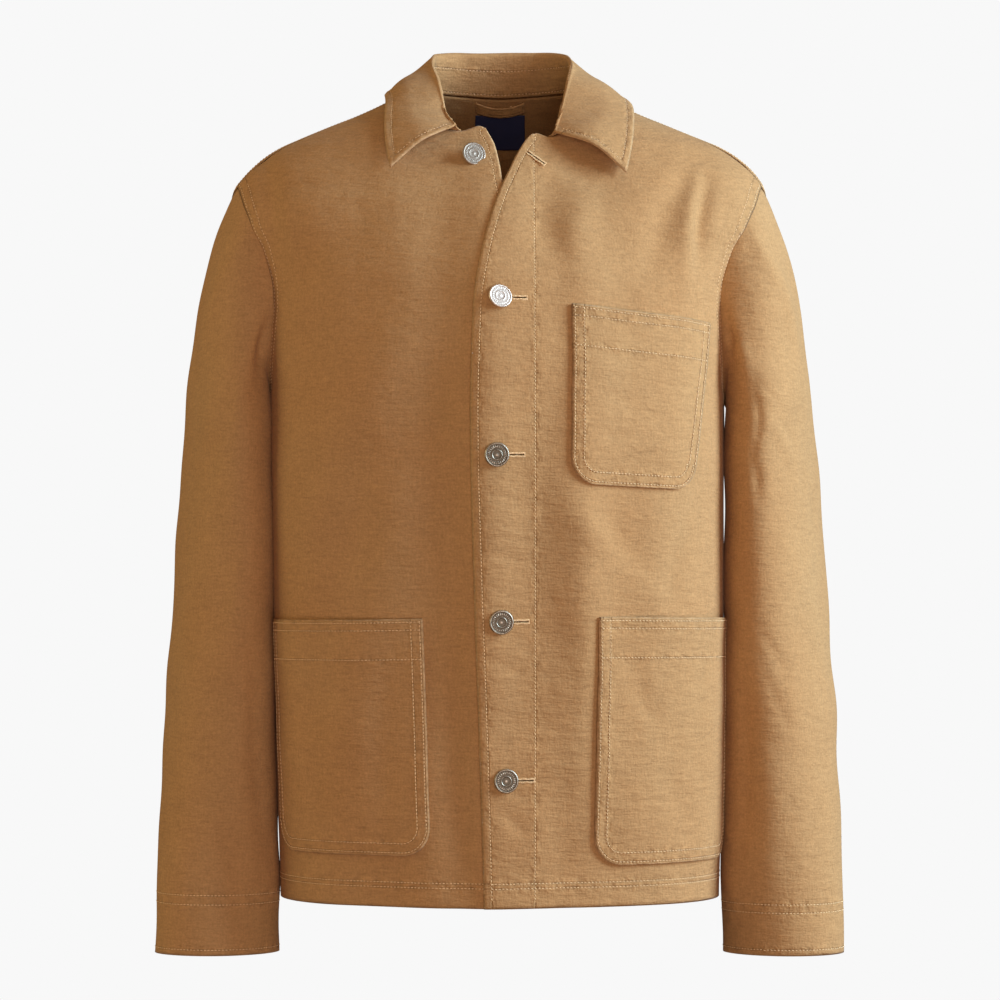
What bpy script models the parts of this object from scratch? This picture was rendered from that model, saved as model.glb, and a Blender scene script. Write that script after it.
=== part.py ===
"""Chore jacket, filled out as if worn and hollow. Sizes in metres, +Z up, front towards -Y."""

import math

import bpy
import numpy as np
from mathutils import Matrix

CLOTH = 0.0015  # wall of one layer of canvas
GAP = 0.00035  # clearance between neighbouring pieces
SEAM_GAP = 0.00045  # half the gap at the side and shoulder seams
PLACKET_RISE = 0.0020  # how far the upper front lies outside the lower one
HEM_Z = -0.685
PIT_Z = -0.266
TIP_Z = -0.086
SEAM_ANGLE = 84.0  # the shoulder seams run just ahead of the ridge
BACK_NECK_Z = -0.0040
ROW_PIT = 0.60  # share of a panel's rows below the underarm
ROW_TIP = 0.82  # share of its rows below the shoulder tip
PANEL_ROWS = (7, 9, 6)  # rows to the underarm, the shoulder tip and the neck
SLEEVE_SIDES = 2 * PANEL_ROWS[1]  # so the sleeve meets the panels point to point
BUTTON_RADIUS = 0.0101
BUTTON_PITCH_EDGE = 0.0200  # button centres from the front edge
POCKET_LIFT = 0.0024
COLLAR_LIFT = 0.0050

# Horizontal sections of the body, from the hem up to the neck.
BODY_COLUMNS = ("z", "half", "front", "back", "mid", "lean", "square")
BODY = (
    (-0.700, 0.1855, 0.1275, 0.1180, 0.000, 0.0000, 2.6),
    (-0.600, 0.1880, 0.1320, 0.1180, 0.000, -0.0004, 2.6),
    (-0.500, 0.1900, 0.1370, 0.1200, 0.000, -0.0010, 2.6),
    (-0.400, 0.1915, 0.1430, 0.1260, 0.000, -0.0018, 2.6),
    (-0.300, 0.1922, 0.1480, 0.1330, 0.001, -0.0026, 2.55),
    (-0.250, 0.1925, 0.1480, 0.1360, 0.002, -0.0028, 2.5),
    (-0.200, 0.1940, 0.1440, 0.1350, 0.004, -0.0028, 2.45),
    (-0.173, 0.1975, 0.1390, 0.1330, 0.005, -0.0026, 2.4),
    (-0.142, 0.2100, 0.1285, 0.1280, 0.007, -0.0020, 2.35),
    (-0.120, 0.2235, 0.1195, 0.1230, 0.008, -0.0012, 2.3),
    (-0.100, 0.2290, 0.1100, 0.1170, 0.009, -0.0006, 2.25),
    (-0.086, 0.2260, 0.1020, 0.1120, 0.010, -0.0004, 2.2),
    (-0.076, 0.2190, 0.0960, 0.1080, 0.010, 0.0, 2.2),
    (-0.064, 0.2060, 0.0880, 0.1030, 0.011, 0.0, 2.2),
    (-0.053, 0.1890, 0.0800, 0.0975, 0.011, 0.0, 2.2),
    (-0.044, 0.1700, 0.0740, 0.0920, 0.012, 0.0, 2.2),
    (-0.034, 0.1460, 0.0660, 0.0855, 0.012, 0.0, 2.2),
    (-0.024, 0.1210, 0.0560, 0.0780, 0.012, 0.0, 2.15),
    (-0.012, 0.0960, 0.0440, 0.0690, 0.012, 0.0, 2.1),
    (0.000, 0.0760, 0.0310, 0.0590, 0.012, 0.0, 2.0),
    (0.020, 0.0560, 0.0180, 0.0440, 0.012, 0.0, 2.0),
)

# The fronts meet in a soft crest along the closing.
CREST_X = -0.014
CREST_WIDTH = 0.105
CREST_COLUMNS = ("z", "height")
CREST = (
    (-0.700, 0.012),
    (-0.350, 0.011),
    (-0.160, 0.008),
    (-0.060, 0.002),
    (0.000, 0.000),
)

# The armhole: height, angle of its front edge and of its back edge.
ARMHOLE_COLUMNS = ("z", "front", "back")
ARMHOLE = (
    (-0.266, 90.0, 90.0),
    (-0.261, 85.8, 93.8),
    (-0.250, 82.0, 97.3),
    (-0.230, 78.6, 101.0),
    (-0.205, 76.2, 104.0),
    (-0.175, 74.8, 106.0),
    (-0.145, 74.8, 106.0),
    (-0.120, 76.0, 101.5),
    (-0.103, 78.3, 95.2),
    (-0.092, 81.2, 88.2),
    (-0.086, 84.0, 84.0),
)

# Free edge of the wearer's left front, which lies on top, and of the right front under it.
EDGE_COLUMNS = ("z", "x")
EDGE_LEFT = (
    (-0.685, -0.0130),
    (-0.540, -0.0162),
    (-0.400, -0.0195),
    (-0.290, -0.0210),
    (-0.193, -0.0188),
    (-0.141, -0.0115),
    (-0.110, -0.0041),
    (-0.079, 0.0075),
    (-0.054, 0.0200),
    (-0.046, 0.0260),
)
EDGE_RIGHT = (
    (-0.685, 0.0290),
    (-0.400, 0.0260),
    (-0.250, 0.0235),
    (-0.160, 0.0160),
    (-0.084, 0.0017),
    (-0.056, -0.0042),
    (-0.040, -0.0120),
)

# Front necklines from the free edge to the shoulder seam: angle and height.
NECK_COLUMNS = ("angle", "z")
NECK_LEFT = (
    (19.0, -0.0460),
    (22.5, -0.0448),
    (29.0, -0.0477),
    (41.0, -0.0400),
    (57.0, -0.0215),
    (74.0, -0.0065),
    (84.0, 0.0000),
)
NECK_RIGHT = (
    (9.5, -0.0400),
    (14.0, -0.0382),
    (25.0, -0.0425),
    (41.0, -0.0385),
    (57.0, -0.0215),
    (74.0, -0.0065),
    (84.0, 0.0000),
)

# Sections of a sleeve from the underarm to the cuff.
SLEEVE_COLUMNS = ("z", "outer", "inner", "depth", "mid", "turn")
SLEEVE = (
    (-0.740, 0.2917, 0.1872, 0.0430, -0.020, -12.0),
    (-0.685, 0.2905, 0.1894, 0.0480, -0.015, -15.0),
    (-0.600, 0.2885, 0.1914, 0.0580, -0.006, -19.0),
    (-0.500, 0.2843, 0.1926, 0.0690, 0.001, -21.0),
    (-0.400, 0.2790, 0.1942, 0.0770, 0.007, -20.0),
    (-0.340, 0.2748, 0.1958, 0.0810, 0.010, -17.0),
    (-0.300, 0.2712, 0.1966, 0.0820, 0.012, -14.0),
)
CUFF_Z = -0.732
CAP_Z = -0.300

# Collar sections from the centre back to a front end.
COLLAR_COLUMNS = (
    "along", "seam", "roll_x", "roll_y", "roll_z", "edge", "edge_z", "lift",
)
COLLAR_LEFT = (
    (0.00, 180.0, 0.0000, 0.0660, 0.0355, 180.0, -0.0120, 0.004),
    (0.20, 150.0, 0.0350, 0.0580, 0.0350, 152.0, -0.0120, 0.004),
    (0.40, 116.0, 0.0575, 0.0360, 0.0310, 121.0, -0.0125, 0.004),
    (0.55, 86.0, 0.0615, 0.0090, 0.0200, 98.0, -0.0150, 0.004),
    (0.70, 66.0, 0.0580, -0.0180, 0.0040, 83.0, -0.0200, 0.004),
    (0.86, 45.0, 0.0510, -0.0460, -0.0230, 66.0, -0.0360, 0.004),
    (1.00, 29.0, 0.0460, -0.0660, -0.0420, 48.6, -0.0830, 0.008),
)
COLLAR_RIGHT = (
    (0.00, 180.0, 0.0000, 0.0660, 0.0355, 180.0, -0.0120, 0.004),
    (0.20, 150.0, 0.0340, 0.0580, 0.0350, 152.0, -0.0120, 0.004),
    (0.40, 116.0, 0.0560, 0.0360, 0.0315, 121.0, -0.0115, 0.004),
    (0.55, 86.0, 0.0580, 0.0090, 0.0210, 96.5, -0.0130, 0.004),
    (0.70, 66.0, 0.0530, -0.0180, 0.0055, 81.0, -0.0170, 0.004),
    (0.86, 45.0, 0.0455, -0.0460, -0.0230, 63.0, -0.0310, 0.004),
    (1.00, 25.0, 0.0375, -0.0650, -0.0370, 44.5, -0.0790, 0.007),
)
FOLD_BACK = 0.0030
FOLD_FRONT = 0.0020

# Patch pockets: side of the wearer, then angle and height of the corners, and the bottom radius.
POCKET_COLUMNS = (
    "name", "side", "in_top", "in_top_z", "out_top", "out_top_z",
    "in_low", "in_low_z", "out_low", "out_low_z", "radius",
)
POCKETS = (
    ("chest_pocket", 1, 23.5, -0.1911, 66.3, -0.2040, 21.8, -0.3370, 58.1, -0.3430, 0.022),
    ("lower_pocket_left", 1, 30.8, -0.4460, 82.0, -0.4500, 31.5, -0.6506, 81.0, -0.6500, 0.024),
    ("lower_pocket_right", -1, 24.4, -0.4480, 76.0, -0.4510, 23.6, -0.6424, 74.0, -0.6424, 0.024),
)

# Buttons from the neck down; the top one is undone and stays on the right front.
BUTTON_COLUMNS = ("name", "z")
BUTTONS = (
    ("button_2", -0.1868),
    ("button_3", -0.3142),
    ("button_4", -0.4499),
    ("button_5", -0.5798),
)
TOP_BUTTON = (-0.0229, -0.0650)
TOP_BUTTONHOLE = (0.0245, -0.0642)
TOP_TILT = -0.72  # the empty top buttonhole runs square to the turned-back edge
HOLE_EYE = 0.0024
HOLE_SLIT = 0.0006
HOLE_LENGTH = 0.0220
TOP_HOLE_LENGTH = 0.0135
SHANK = 0.0019

INSIDE = CLOTH + 0.0007  # depth of what is sewn to the inner face of the back

CANVAS = (0.42, 0.24, 0.11)
METAL = (0.33, 0.31, 0.27)
NAVY = (0.012, 0.018, 0.05)


def column(table, names, name):
    """One column of a table as numbers."""
    return np.array([row[names.index(name)] for row in table], dtype=float)


def smooth(knots, values, at):
    """Monotone cubic through a table's points."""
    knots = np.asarray(knots, dtype=float)
    values = np.asarray(values, dtype=float)
    if knots[0] > knots[-1]:
        knots = knots[::-1]
        values = values[::-1]
    step = np.diff(knots)
    rise = np.diff(values) / step
    slope = np.empty(len(knots))
    slope[0] = rise[0]
    slope[-1] = rise[-1]
    before = rise[:-1]
    after = rise[1:]
    same = before * after > 0.0
    total = np.where(same, before + after, 1.0)
    slope[1:-1] = np.where(same, 2.0 * before * after / total, 0.0)
    at = np.clip(at, knots[0], knots[-1])
    i = np.clip(np.searchsorted(knots, at) - 1, 0, len(step) - 1)
    t = (at - knots[i]) / step[i]
    a = values[i] * (1.0 + 2.0 * t) * (1.0 - t) ** 2
    b = values[i + 1] * t * t * (3.0 - 2.0 * t)
    c = slope[i] * step[i] * t * (1.0 - t) ** 2
    d = slope[i + 1] * step[i] * t * t * (t - 1.0)
    return a + b + c + d


def along(table, names, key, value, at):
    """A table's column `value` read smoothly at `key`."""
    return smooth(column(table, names, key), column(table, names, value), at)


def body_surface(angle, z):
    """Outer face of the body; angle in degrees from the centre front, positive to +X."""
    ring = {name: along(BODY, BODY_COLUMNS, "z", name, z) for name in BODY_COLUMNS[1:]}
    turn = np.radians(angle)
    across = np.abs(np.sin(turn)) / ring["half"]
    deep = np.where(np.cos(turn) > 0.0, ring["front"], ring["back"])
    power = np.where(np.cos(turn) > 0.0, ring["square"], 2.15)
    reach = (across**power + (np.abs(np.cos(turn)) / deep) ** power) ** (-1.0 / power)
    x = ring["lean"] + reach * np.sin(turn)
    y = ring["mid"] - reach * np.cos(turn)
    away = np.sqrt((x - CREST_X) ** 2 + 0.008**2) / CREST_WIDTH
    crest = along(CREST, CREST_COLUMNS, "z", "height", z) * np.clip(1.0 - away, 0.0, 1.0) ** 1.2
    y = y - np.where(np.cos(turn) > 0.0, crest, 0.0)
    return np.stack([x, y, z + 0.0 * x], axis=-1)


def body_point(angle, z, out=0.0):
    """A point of the body, moved `out` along the outward normal."""
    angle, z, out = np.broadcast_arrays(*[np.asarray(v, dtype=float) for v in (angle, z, out)])
    point = body_surface(angle, z)
    around = body_surface(angle + 0.2, z) - body_surface(angle - 0.2, z)
    upward = body_surface(angle, z + 0.0004) - body_surface(angle, z - 0.0004)
    normal = np.cross(around, upward)
    normal /= np.linalg.norm(normal, axis=-1, keepdims=True)
    return point + normal * out[..., None]


def angle_at(x, z):
    """The angle where the front of the body has this x at this height."""
    half = along(BODY, BODY_COLUMNS, "z", "half", z)
    front = along(BODY, BODY_COLUMNS, "z", "front", z)
    power = along(BODY, BODY_COLUMNS, "z", "square", z)
    part = np.clip(np.abs(x / half), 0.0, 0.999)
    deep = front * (1.0 - part**power) ** (1.0 / power)
    return np.degrees(np.arctan2(x, deep))


def even_rows(angle, z, out, count):
    """Points at even distances along each row of a patch."""
    rows = []
    for row_angle, row_z, row_out in zip(angle, z, out):
        path = body_point(row_angle, row_z)
        run = np.concatenate([[0.0], np.cumsum(np.linalg.norm(np.diff(path, axis=0), axis=1))])
        want = np.linspace(0.0, run[-1], count)
        at_angle = np.interp(want, run, row_angle)
        at_z = np.interp(want, run, row_z)
        rows.append(body_point(at_angle, at_z, np.interp(want, run, row_out)))
    return np.array(rows)


def step_up(value, low, high):
    """0 below low, 1 above high, smooth between."""
    t = np.clip((value - low) / (high - low), 0.0, 1.0)
    return t * t * (3.0 - 2.0 * t)


def neck_z(neck, angle):
    """Height of the neck seam at an angle, on a front and round the back."""
    front = smooth(column(neck, NECK_COLUMNS, "angle"), column(neck, NECK_COLUMNS, "z"), angle)
    round_back = np.clip((angle - SEAM_ANGLE) / (180.0 - SEAM_ANGLE), 0.0, 1.0)
    return np.where(angle > SEAM_ANGLE, BACK_NECK_Z * round_back**1.5, front)


def row_steps(low, middle, high):
    """Row positions that keep the underarm and the shoulder tip as rows."""
    parts = (
        np.linspace(0.0, ROW_PIT, low, endpoint=False),
        np.linspace(ROW_PIT, ROW_TIP, middle, endpoint=False),
        np.linspace(ROW_TIP, 1.0, high),
    )
    return np.concatenate(parts)[:, None]


def side_angle(t_z, edge):
    """Outer edge of a panel by height: side seam, armhole, then shoulder seam."""
    arm = along(ARMHOLE, ARMHOLE_COLUMNS, "z", edge, np.clip(t_z, PIT_Z, TIP_Z))
    return np.where(t_z > TIP_Z, SEAM_ANGLE, arm)


def seam_clear(z):
    """Half the gap at a seam, as an angle at this height."""
    return np.degrees(SEAM_GAP / along(BODY, BODY_COLUMNS, "z", "half", z))


def front_panel(edge, neck, side, rise, across, steps):
    """Grid of a front: rows from the free edge to the side, the last row along the neckline."""
    t = row_steps(*steps)
    p = np.linspace(0.0, 1.0, 120)[None, :]
    top_left = edge[-1][0]
    z_in = np.interp(t, (0.0, ROW_PIT, ROW_TIP, 1.0), (HEM_Z, -0.255, -0.105, top_left))
    z_out = np.interp(t, (0.0, ROW_PIT, ROW_TIP, 1.0), (HEM_Z, PIT_Z, TIP_Z, 0.0))
    inner = side * angle_at(along(edge, EDGE_COLUMNS, "z", "x", z_in), z_in)
    outer = side_angle(z_out, "front") - seam_clear(z_out)
    neck_run = np.linspace(0.0, 1.0, len(neck))
    neck_angle = smooth(neck_run, column(neck, NECK_COLUMNS, "angle"), p)
    neck_height = neck_z(neck, neck_angle)
    pull = step_up(t, 0.70, 1.0) ** 1.5
    angle = inner + (outer - inner) * p
    angle = angle + pull * (neck_angle - (neck_angle[0, 0] + (SEAM_ANGLE - neck_angle[0, 0]) * p))
    z = z_in + (z_out - z_in) * p
    z = z + pull * (neck_height - neck_height[0, 0] * (1.0 - p))
    out = rise * (1.0 - step_up(angle, 12.0, 24.0))
    return even_rows(side * angle, z, out, across)


def back_panel(across, steps):
    """Grid of the back: rows from the wearer's left side to the right side."""
    t = row_steps(*steps)
    p = np.linspace(0.0, 1.0, 120)[None, :]
    z_side = np.interp(t, (0.0, ROW_PIT, ROW_TIP, 1.0), (HEM_Z, PIT_Z, TIP_Z, 0.0))
    z_mid = np.interp(t, (0.0, ROW_PIT, ROW_TIP, 1.0), (HEM_Z, -0.262, -0.085, BACK_NECK_Z))
    start = side_angle(z_side, "back") + seam_clear(z_side)
    angle = start + (180.0 - start) * p
    z = z_side + (z_mid - z_side) * p**1.5
    half = even_rows(angle, z, 0.0 * angle, across)
    mirrored = even_rows(-angle, z, 0.0 * angle, across)
    return np.concatenate([half, mirrored[:, -2::-1]], axis=1)


def armhole_loop(side, count):
    """The armhole's seam as a closed loop, from the shoulder tip by the front to the underarm."""
    z = np.linspace(TIP_Z, PIT_Z, count // 2 + 1)
    front = body_point(side * along(ARMHOLE, ARMHOLE_COLUMNS, "z", "front", z), z)
    back = body_point(side * along(ARMHOLE, ARMHOLE_COLUMNS, "z", "back", z), z)
    loop = np.concatenate([front, back[-2:0:-1]])
    loop[0, 2] -= 2.0 * GAP
    loop[count // 2, 2] += 2.0 * GAP
    return loop


def sleeve_ring(side, z, count):
    """A level section of the sleeve, starting from its outer line and running by the front."""
    row = {name: along(SLEEVE, SLEEVE_COLUMNS, "z", name, z) for name in SLEEVE_COLUMNS[1:]}
    turn = math.radians(float(row["turn"]))
    reach = 0.5 * (row["outer"] - row["inner"])
    wide = math.sqrt(reach**2 - (row["depth"] * math.sin(turn)) ** 2) / math.cos(turn)
    angle = 2.0 * math.pi * np.arange(count) / count
    u = wide * np.cos(angle)
    v = -row["depth"] * np.sin(angle)
    x = 0.5 * (row["outer"] + row["inner"]) + u * math.cos(turn) - v * math.sin(turn)
    y = row["mid"] + u * math.sin(turn) + v * math.cos(turn)
    return np.stack([side * x, y, np.full(count, float(z))], axis=-1)


def sleeve_grid(side, around, cap, down):
    """Rings of a sleeve from the armhole to the cuff."""
    seam = armhole_loop(side, around)
    first = sleeve_ring(side, CAP_Z, around)
    leave = sleeve_ring(side, CAP_Z - 0.03, around) - first
    leave /= np.linalg.norm(leave, axis=1, keepdims=True)
    swing = np.sin(2.0 * math.pi * np.arange(around) / around)
    start = np.stack([side * np.full(around, 0.46), -0.30 * swing, np.full(around, -0.88)], axis=-1)
    start /= np.linalg.norm(start, axis=1, keepdims=True)
    length = np.linalg.norm(first - seam, axis=1, keepdims=True)
    rings = []
    for t in np.linspace(0.0, 1.0, cap, endpoint=False):
        ring = seam * (1.0 + 2.0 * t) * (1.0 - t) ** 2 + first * t * t * (3.0 - 2.0 * t)
        ring = ring + start * length * t * (1.0 - t) ** 2
        rings.append(ring + leave * length * t * t * (t - 1.0))
    for z in np.linspace(CAP_Z, CUFF_Z, down):
        rings.append(sleeve_ring(side, z, around))
    return np.array(rings)


def collar_half(table, neck, side, count, profile):
    """Collar profiles from the centre back to one front end."""
    t = np.linspace(0.0, 1.0, count)
    row = {n: along(table, COLLAR_COLUMNS, "along", n, t) for n in COLLAR_COLUMNS[1:]}
    seam = body_point(side * row["seam"], neck_z(neck, row["seam"]))
    inward = np.stack([-seam[:, 0], 0.004 - seam[:, 1], np.zeros(count)], axis=-1)
    inward /= np.linalg.norm(inward, axis=1, keepdims=True)
    up = np.array([0.0, 0.0, 1.0])
    radius = (FOLD_BACK + (FOLD_FRONT - FOLD_BACK) * t)[:, None]
    roll = np.stack([side * row["roll_x"], row["roll_y"], row["roll_z"]], axis=-1)
    foot = seam + inward * (CLOTH + 0.0006) + up * 0.0008
    inside = roll + inward * radius - up * radius
    outside = roll - inward * radius - up * radius
    edge = body_point(side * row["edge"], row["edge_z"], COLLAR_LIFT)
    middle = 0.5 * (outside + edge)
    bow = np.cross(edge - outside, np.gradient(edge, axis=0))
    bow /= np.linalg.norm(bow, axis=1, keepdims=True)
    middle = middle + (-side) * bow * row["lift"][:, None]
    points = np.stack([foot, inside, roll, outside, middle, edge], axis=1)
    knots = np.array([0.0, 0.42, 0.50, 0.58, 0.79, 1.0])
    share = np.linspace(0.0, 1.0, profile)
    rows = [np.stack([smooth(knots, p[:, k], share) for k in range(3)], axis=-1) for p in points]
    return np.array(rows)


def collar_grid(count, profile):
    """The whole collar, from the wearer's left end by the back to the right end."""
    left = collar_half(COLLAR_LEFT, NECK_LEFT, 1.0, count, profile)
    right = collar_half(COLLAR_RIGHT, NECK_RIGHT, -1.0, count, profile)
    return np.concatenate([left[::-1], right[1:]], axis=0)


def pocket_grid(pocket, across, up):
    """A patch pocket with rounded lower corners, lying on the body."""
    row = dict(zip(POCKET_COLUMNS, pocket))
    high = row["in_low_z"] - row["in_top_z"]
    v = np.linspace(0.0, 1.0, up) ** 1.6
    lift = (row["in_top_z"] - row["in_low_z"]) * v
    short = np.clip(row["radius"] - lift, 0.0, None)
    inset = row["radius"] - np.sqrt(row["radius"] ** 2 - short**2)
    inset = np.degrees(inset / 0.165)
    inner = row["in_low"] + (row["in_top"] - row["in_low"]) * v + inset
    outer = row["out_low"] + (row["out_top"] - row["out_low"]) * v - inset
    z_in = row["in_low_z"] - high * v
    z_out = row["out_low_z"] + (row["out_top_z"] - row["out_low_z"]) * v
    p = np.linspace(0.0, 1.0, 60)[None, :]
    angle = inner[:, None] + (outer - inner)[:, None] * p
    z = z_in[:, None] + (z_out - z_in)[:, None] * p
    out = POCKET_LIFT + 0.0 * angle
    return even_rows(row["side"] * angle, z, out, across)


def material(name, colour, roughness, metallic=0.0):
    mat = bpy.data.materials.new(name)
    mat.use_nodes = True
    shader = mat.node_tree.nodes["Principled BSDF"]
    shader.inputs["Base Color"].default_value = (*colour, 1.0)
    shader.inputs["Roughness"].default_value = roughness
    shader.inputs["Metallic"].default_value = metallic
    return mat


def place(name, mesh, colour, roughness, metallic=0.0, home=None):
    mesh.update()
    obj = bpy.data.objects.new(name, mesh)
    home.objects.link(obj)
    obj.data.materials.append(material(name, colour, roughness, metallic))
    for face in obj.data.polygons:
        face.use_smooth = True
    return obj


def sheet(name, grid, closed, flip, thickness, colour, home):
    """A shell from a grid of points; its outer face is the grid, its wall goes inward."""
    rows, count = grid.shape[:2]
    faces = []
    for i in range(rows - 1):
        for j in range(count if closed else count - 1):
            k = (j + 1) % count
            face = (i * count + j, i * count + k, (i + 1) * count + k, (i + 1) * count + j)
            faces.append(face[::-1] if flip else face)
    mesh = bpy.data.meshes.new(name)
    mesh.from_pydata([tuple(p) for p in grid.reshape(-1, 3)], [], faces)
    obj = place(name, mesh, colour, 0.85, 0.0, home)
    wall = obj.modifiers.new("wall", "SOLIDIFY")
    wall.thickness = thickness
    wall.offset = -1.0
    wall.use_even_offset = True
    return obj


def lathe(name, profile, steps, colour, home, metallic=1.0):
    """A turned piece: the profile is (radius, height) from the foot to the top."""
    mesh = bpy.data.meshes.new(name)
    points = [(r, 0.0, h) for r, h in profile]
    mesh.from_pydata(points, [(i, i + 1) for i in range(len(points) - 1)], [])
    obj = place(name, mesh, colour, 0.4, metallic, home)
    turn = obj.modifiers.new("turn", "SCREW")
    turn.axis = "Z"
    turn.steps = steps
    turn.render_steps = steps
    turn.use_merge_vertices = True
    turn.merge_threshold = 0.00001
    turn.use_normal_calculate = True
    turn.use_smooth_shade = True
    return obj


def aim(obj, point, direction):
    """Put an object at a point with its +Z along a direction."""
    d = np.array(direction) / np.linalg.norm(direction)
    side = np.cross((0.0, 0.0, 1.0), d)
    side /= np.linalg.norm(side)
    over = np.cross(d, side)
    rows = [[side[i], over[i], d[i], point[i]] for i in range(3)]
    obj.matrix_world = Matrix([*rows, [0.0, 0.0, 0.0, 1.0]])


def normal_at(angle, z):
    return body_point(angle, z, 1.0) - body_point(angle, z, 0.0)


def edge_x(table, z):
    return float(along(table, EDGE_COLUMNS, "z", "x", z))


def button_profile(shank_length):
    """Head with a rolled rim and a shallow dish, on a round shank."""
    r = BUTTON_RADIUS
    top = shank_length
    return (
        (0.0, 0.0),
        (SHANK, 0.0),
        (SHANK, top),
        (0.80 * r, top),
        (0.95 * r, top + 0.0003),
        (r, top + 0.0011),
        (0.97 * r, top + 0.0019),
        (0.90 * r, top + 0.0023),
        (0.80 * r, top + 0.0020),
        (0.40 * r, top + 0.0018),
        (0.0, top + 0.0018),
    )


def hole_cutter(name, x, z, length, tilt, home):
    """Keyhole cutter: a round eye with a slit running away from the free edge."""
    outline = []
    for k in range(13):
        turn = math.radians(20.0 + k * 320.0 / 12)
        outline.append((HOLE_EYE * math.cos(turn), HOLE_EYE * math.sin(turn)))
    outline.append((length, -HOLE_SLIT))
    outline.append((length, HOLE_SLIT))
    count = len(outline)
    points = []
    for depth in (-0.006, 0.006):
        for a, b in outline:
            u = a * math.cos(tilt) - b * math.sin(tilt)
            v = a * math.sin(tilt) + b * math.cos(tilt)
            points.append((u, v, depth))
    faces = [tuple(range(count))[::-1], tuple(range(count, 2 * count))]
    for i in range(count):
        k = (i + 1) % count
        faces.append((i, k, count + k, count + i))
    mesh = bpy.data.meshes.new(name)
    mesh.from_pydata(points, [], faces)
    mesh.update()
    obj = bpy.data.objects.new(name, mesh)
    home.objects.link(obj)
    angle = float(angle_at(x, z))
    aim(obj, body_point(angle, z, PLACKET_RISE), normal_at(angle, z))
    obj.hide_render = True
    obj.display_type = "WIRE"
    return obj


def cut_hole(obj, name, x, z, length, tilt, home):
    cutter = hole_cutter(name, x, z, length, tilt, home)
    cut = obj.modifiers.new(name, "BOOLEAN")
    cut.operation = "DIFFERENCE"
    cut.solver = "EXACT"
    cut.object = cutter


def inner_strip(name, half, top, low, out, bulge, thickness, colour, home, across):
    """A small piece of cloth on the inside of the back, centred below the neck seam."""
    x = np.linspace(-half, half, across)[None, :]
    z = np.linspace(low, top, 4)[:, None] + 0.0 * x
    deep = along(BODY, BODY_COLUMNS, "z", "back", z)
    angle = 180.0 - np.degrees(np.arctan2(x, deep))
    sag = bulge * (1.0 - (x / half) ** 2)
    grid = body_point(angle, z - 0.6 * sag, -out - sag)
    return sheet(name, grid, False, True, thickness, colour, home)


for leftover in list(bpy.data.objects):
    bpy.data.objects.remove(leftover, do_unlink=True)

jacket = bpy.data.collections.new("chore_jacket")
bpy.context.scene.collection.children.link(jacket)
cutters = bpy.data.collections.new("cutters")
bpy.context.scene.collection.children.link(cutters)

left_grid = front_panel(EDGE_LEFT, NECK_LEFT, 1.0, PLACKET_RISE, 13, PANEL_ROWS)
front_left = sheet("front_left", left_grid, False, False, CLOTH, CANVAS, jacket)
right_grid = front_panel(EDGE_RIGHT, NECK_RIGHT, -1.0, 0.0, 13, PANEL_ROWS)
sheet("front_right", right_grid, False, True, CLOTH, CANVAS, jacket)
sheet("back", back_panel(11, PANEL_ROWS), False, False, CLOTH, CANVAS, jacket)
sheet("sleeve_left", sleeve_grid(1.0, SLEEVE_SIDES, 6, 11), True, False, CLOTH, CANVAS, jacket)
sheet("sleeve_right", sleeve_grid(-1.0, SLEEVE_SIDES, 6, 11), True, True, CLOTH, CANVAS, jacket)
sheet("collar", collar_grid(15, 13), False, False, CLOTH, CANVAS, jacket)
for pocket in POCKETS:
    sheet(pocket[0], pocket_grid(pocket, 12, 10), False, pocket[1] < 0, 0.0013, CANVAS, jacket)

cut_hole(front_left, "hole_top", *TOP_BUTTONHOLE, TOP_HOLE_LENGTH, TOP_TILT, cutters)
for name, z in BUTTONS:
    x = edge_x(EDGE_LEFT, z) + BUTTON_PITCH_EDGE
    angle = float(angle_at(x, z))
    cut_hole(front_left, "hole_" + name, x, z, HOLE_LENGTH, 0.0, cutters)
    button = lathe(name, button_profile(PLACKET_RISE + 0.0001), 20, METAL, jacket)
    aim(button, body_point(angle, z, 0.0004), normal_at(angle, z))

angle = -float(angle_at(-TOP_BUTTON[0], TOP_BUTTON[1]))
button = lathe("button_1", button_profile(0.0010), 20, METAL, jacket)
aim(button, body_point(angle, TOP_BUTTON[1], GAP), normal_at(angle, TOP_BUTTON[1]))

inner_strip("neck_label", 0.0220, -0.0155, -0.0440, INSIDE, 0.0, 0.0006, NAVY, jacket, 8)
inner_strip("hanger_loop", 0.0215, -0.0060, -0.0125, INSIDE, 0.0022, 0.0011, CANVAS, jacket, 12)
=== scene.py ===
"""Looks of the chore jacket: fine cloth, creases, stitching, buttons and light. Metres, +Z up."""

import math

import bpy
import numpy as np
from mathutils import Matrix, Vector


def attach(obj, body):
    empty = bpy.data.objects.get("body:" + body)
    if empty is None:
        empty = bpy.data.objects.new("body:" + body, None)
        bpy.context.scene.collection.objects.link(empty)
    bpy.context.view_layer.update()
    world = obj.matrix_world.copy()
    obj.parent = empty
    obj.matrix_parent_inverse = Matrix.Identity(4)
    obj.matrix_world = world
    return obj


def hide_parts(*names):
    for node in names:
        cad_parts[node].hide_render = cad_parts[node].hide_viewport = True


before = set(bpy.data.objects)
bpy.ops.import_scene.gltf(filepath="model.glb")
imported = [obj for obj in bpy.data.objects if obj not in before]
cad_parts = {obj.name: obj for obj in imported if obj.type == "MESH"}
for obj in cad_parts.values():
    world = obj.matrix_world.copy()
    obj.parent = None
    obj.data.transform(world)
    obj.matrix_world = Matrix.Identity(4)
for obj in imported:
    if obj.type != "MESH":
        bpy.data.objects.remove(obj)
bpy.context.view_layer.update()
scene = bpy.context.scene


# ---------------------------------------------------------------- the jacket's form, as in the CAD

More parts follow.
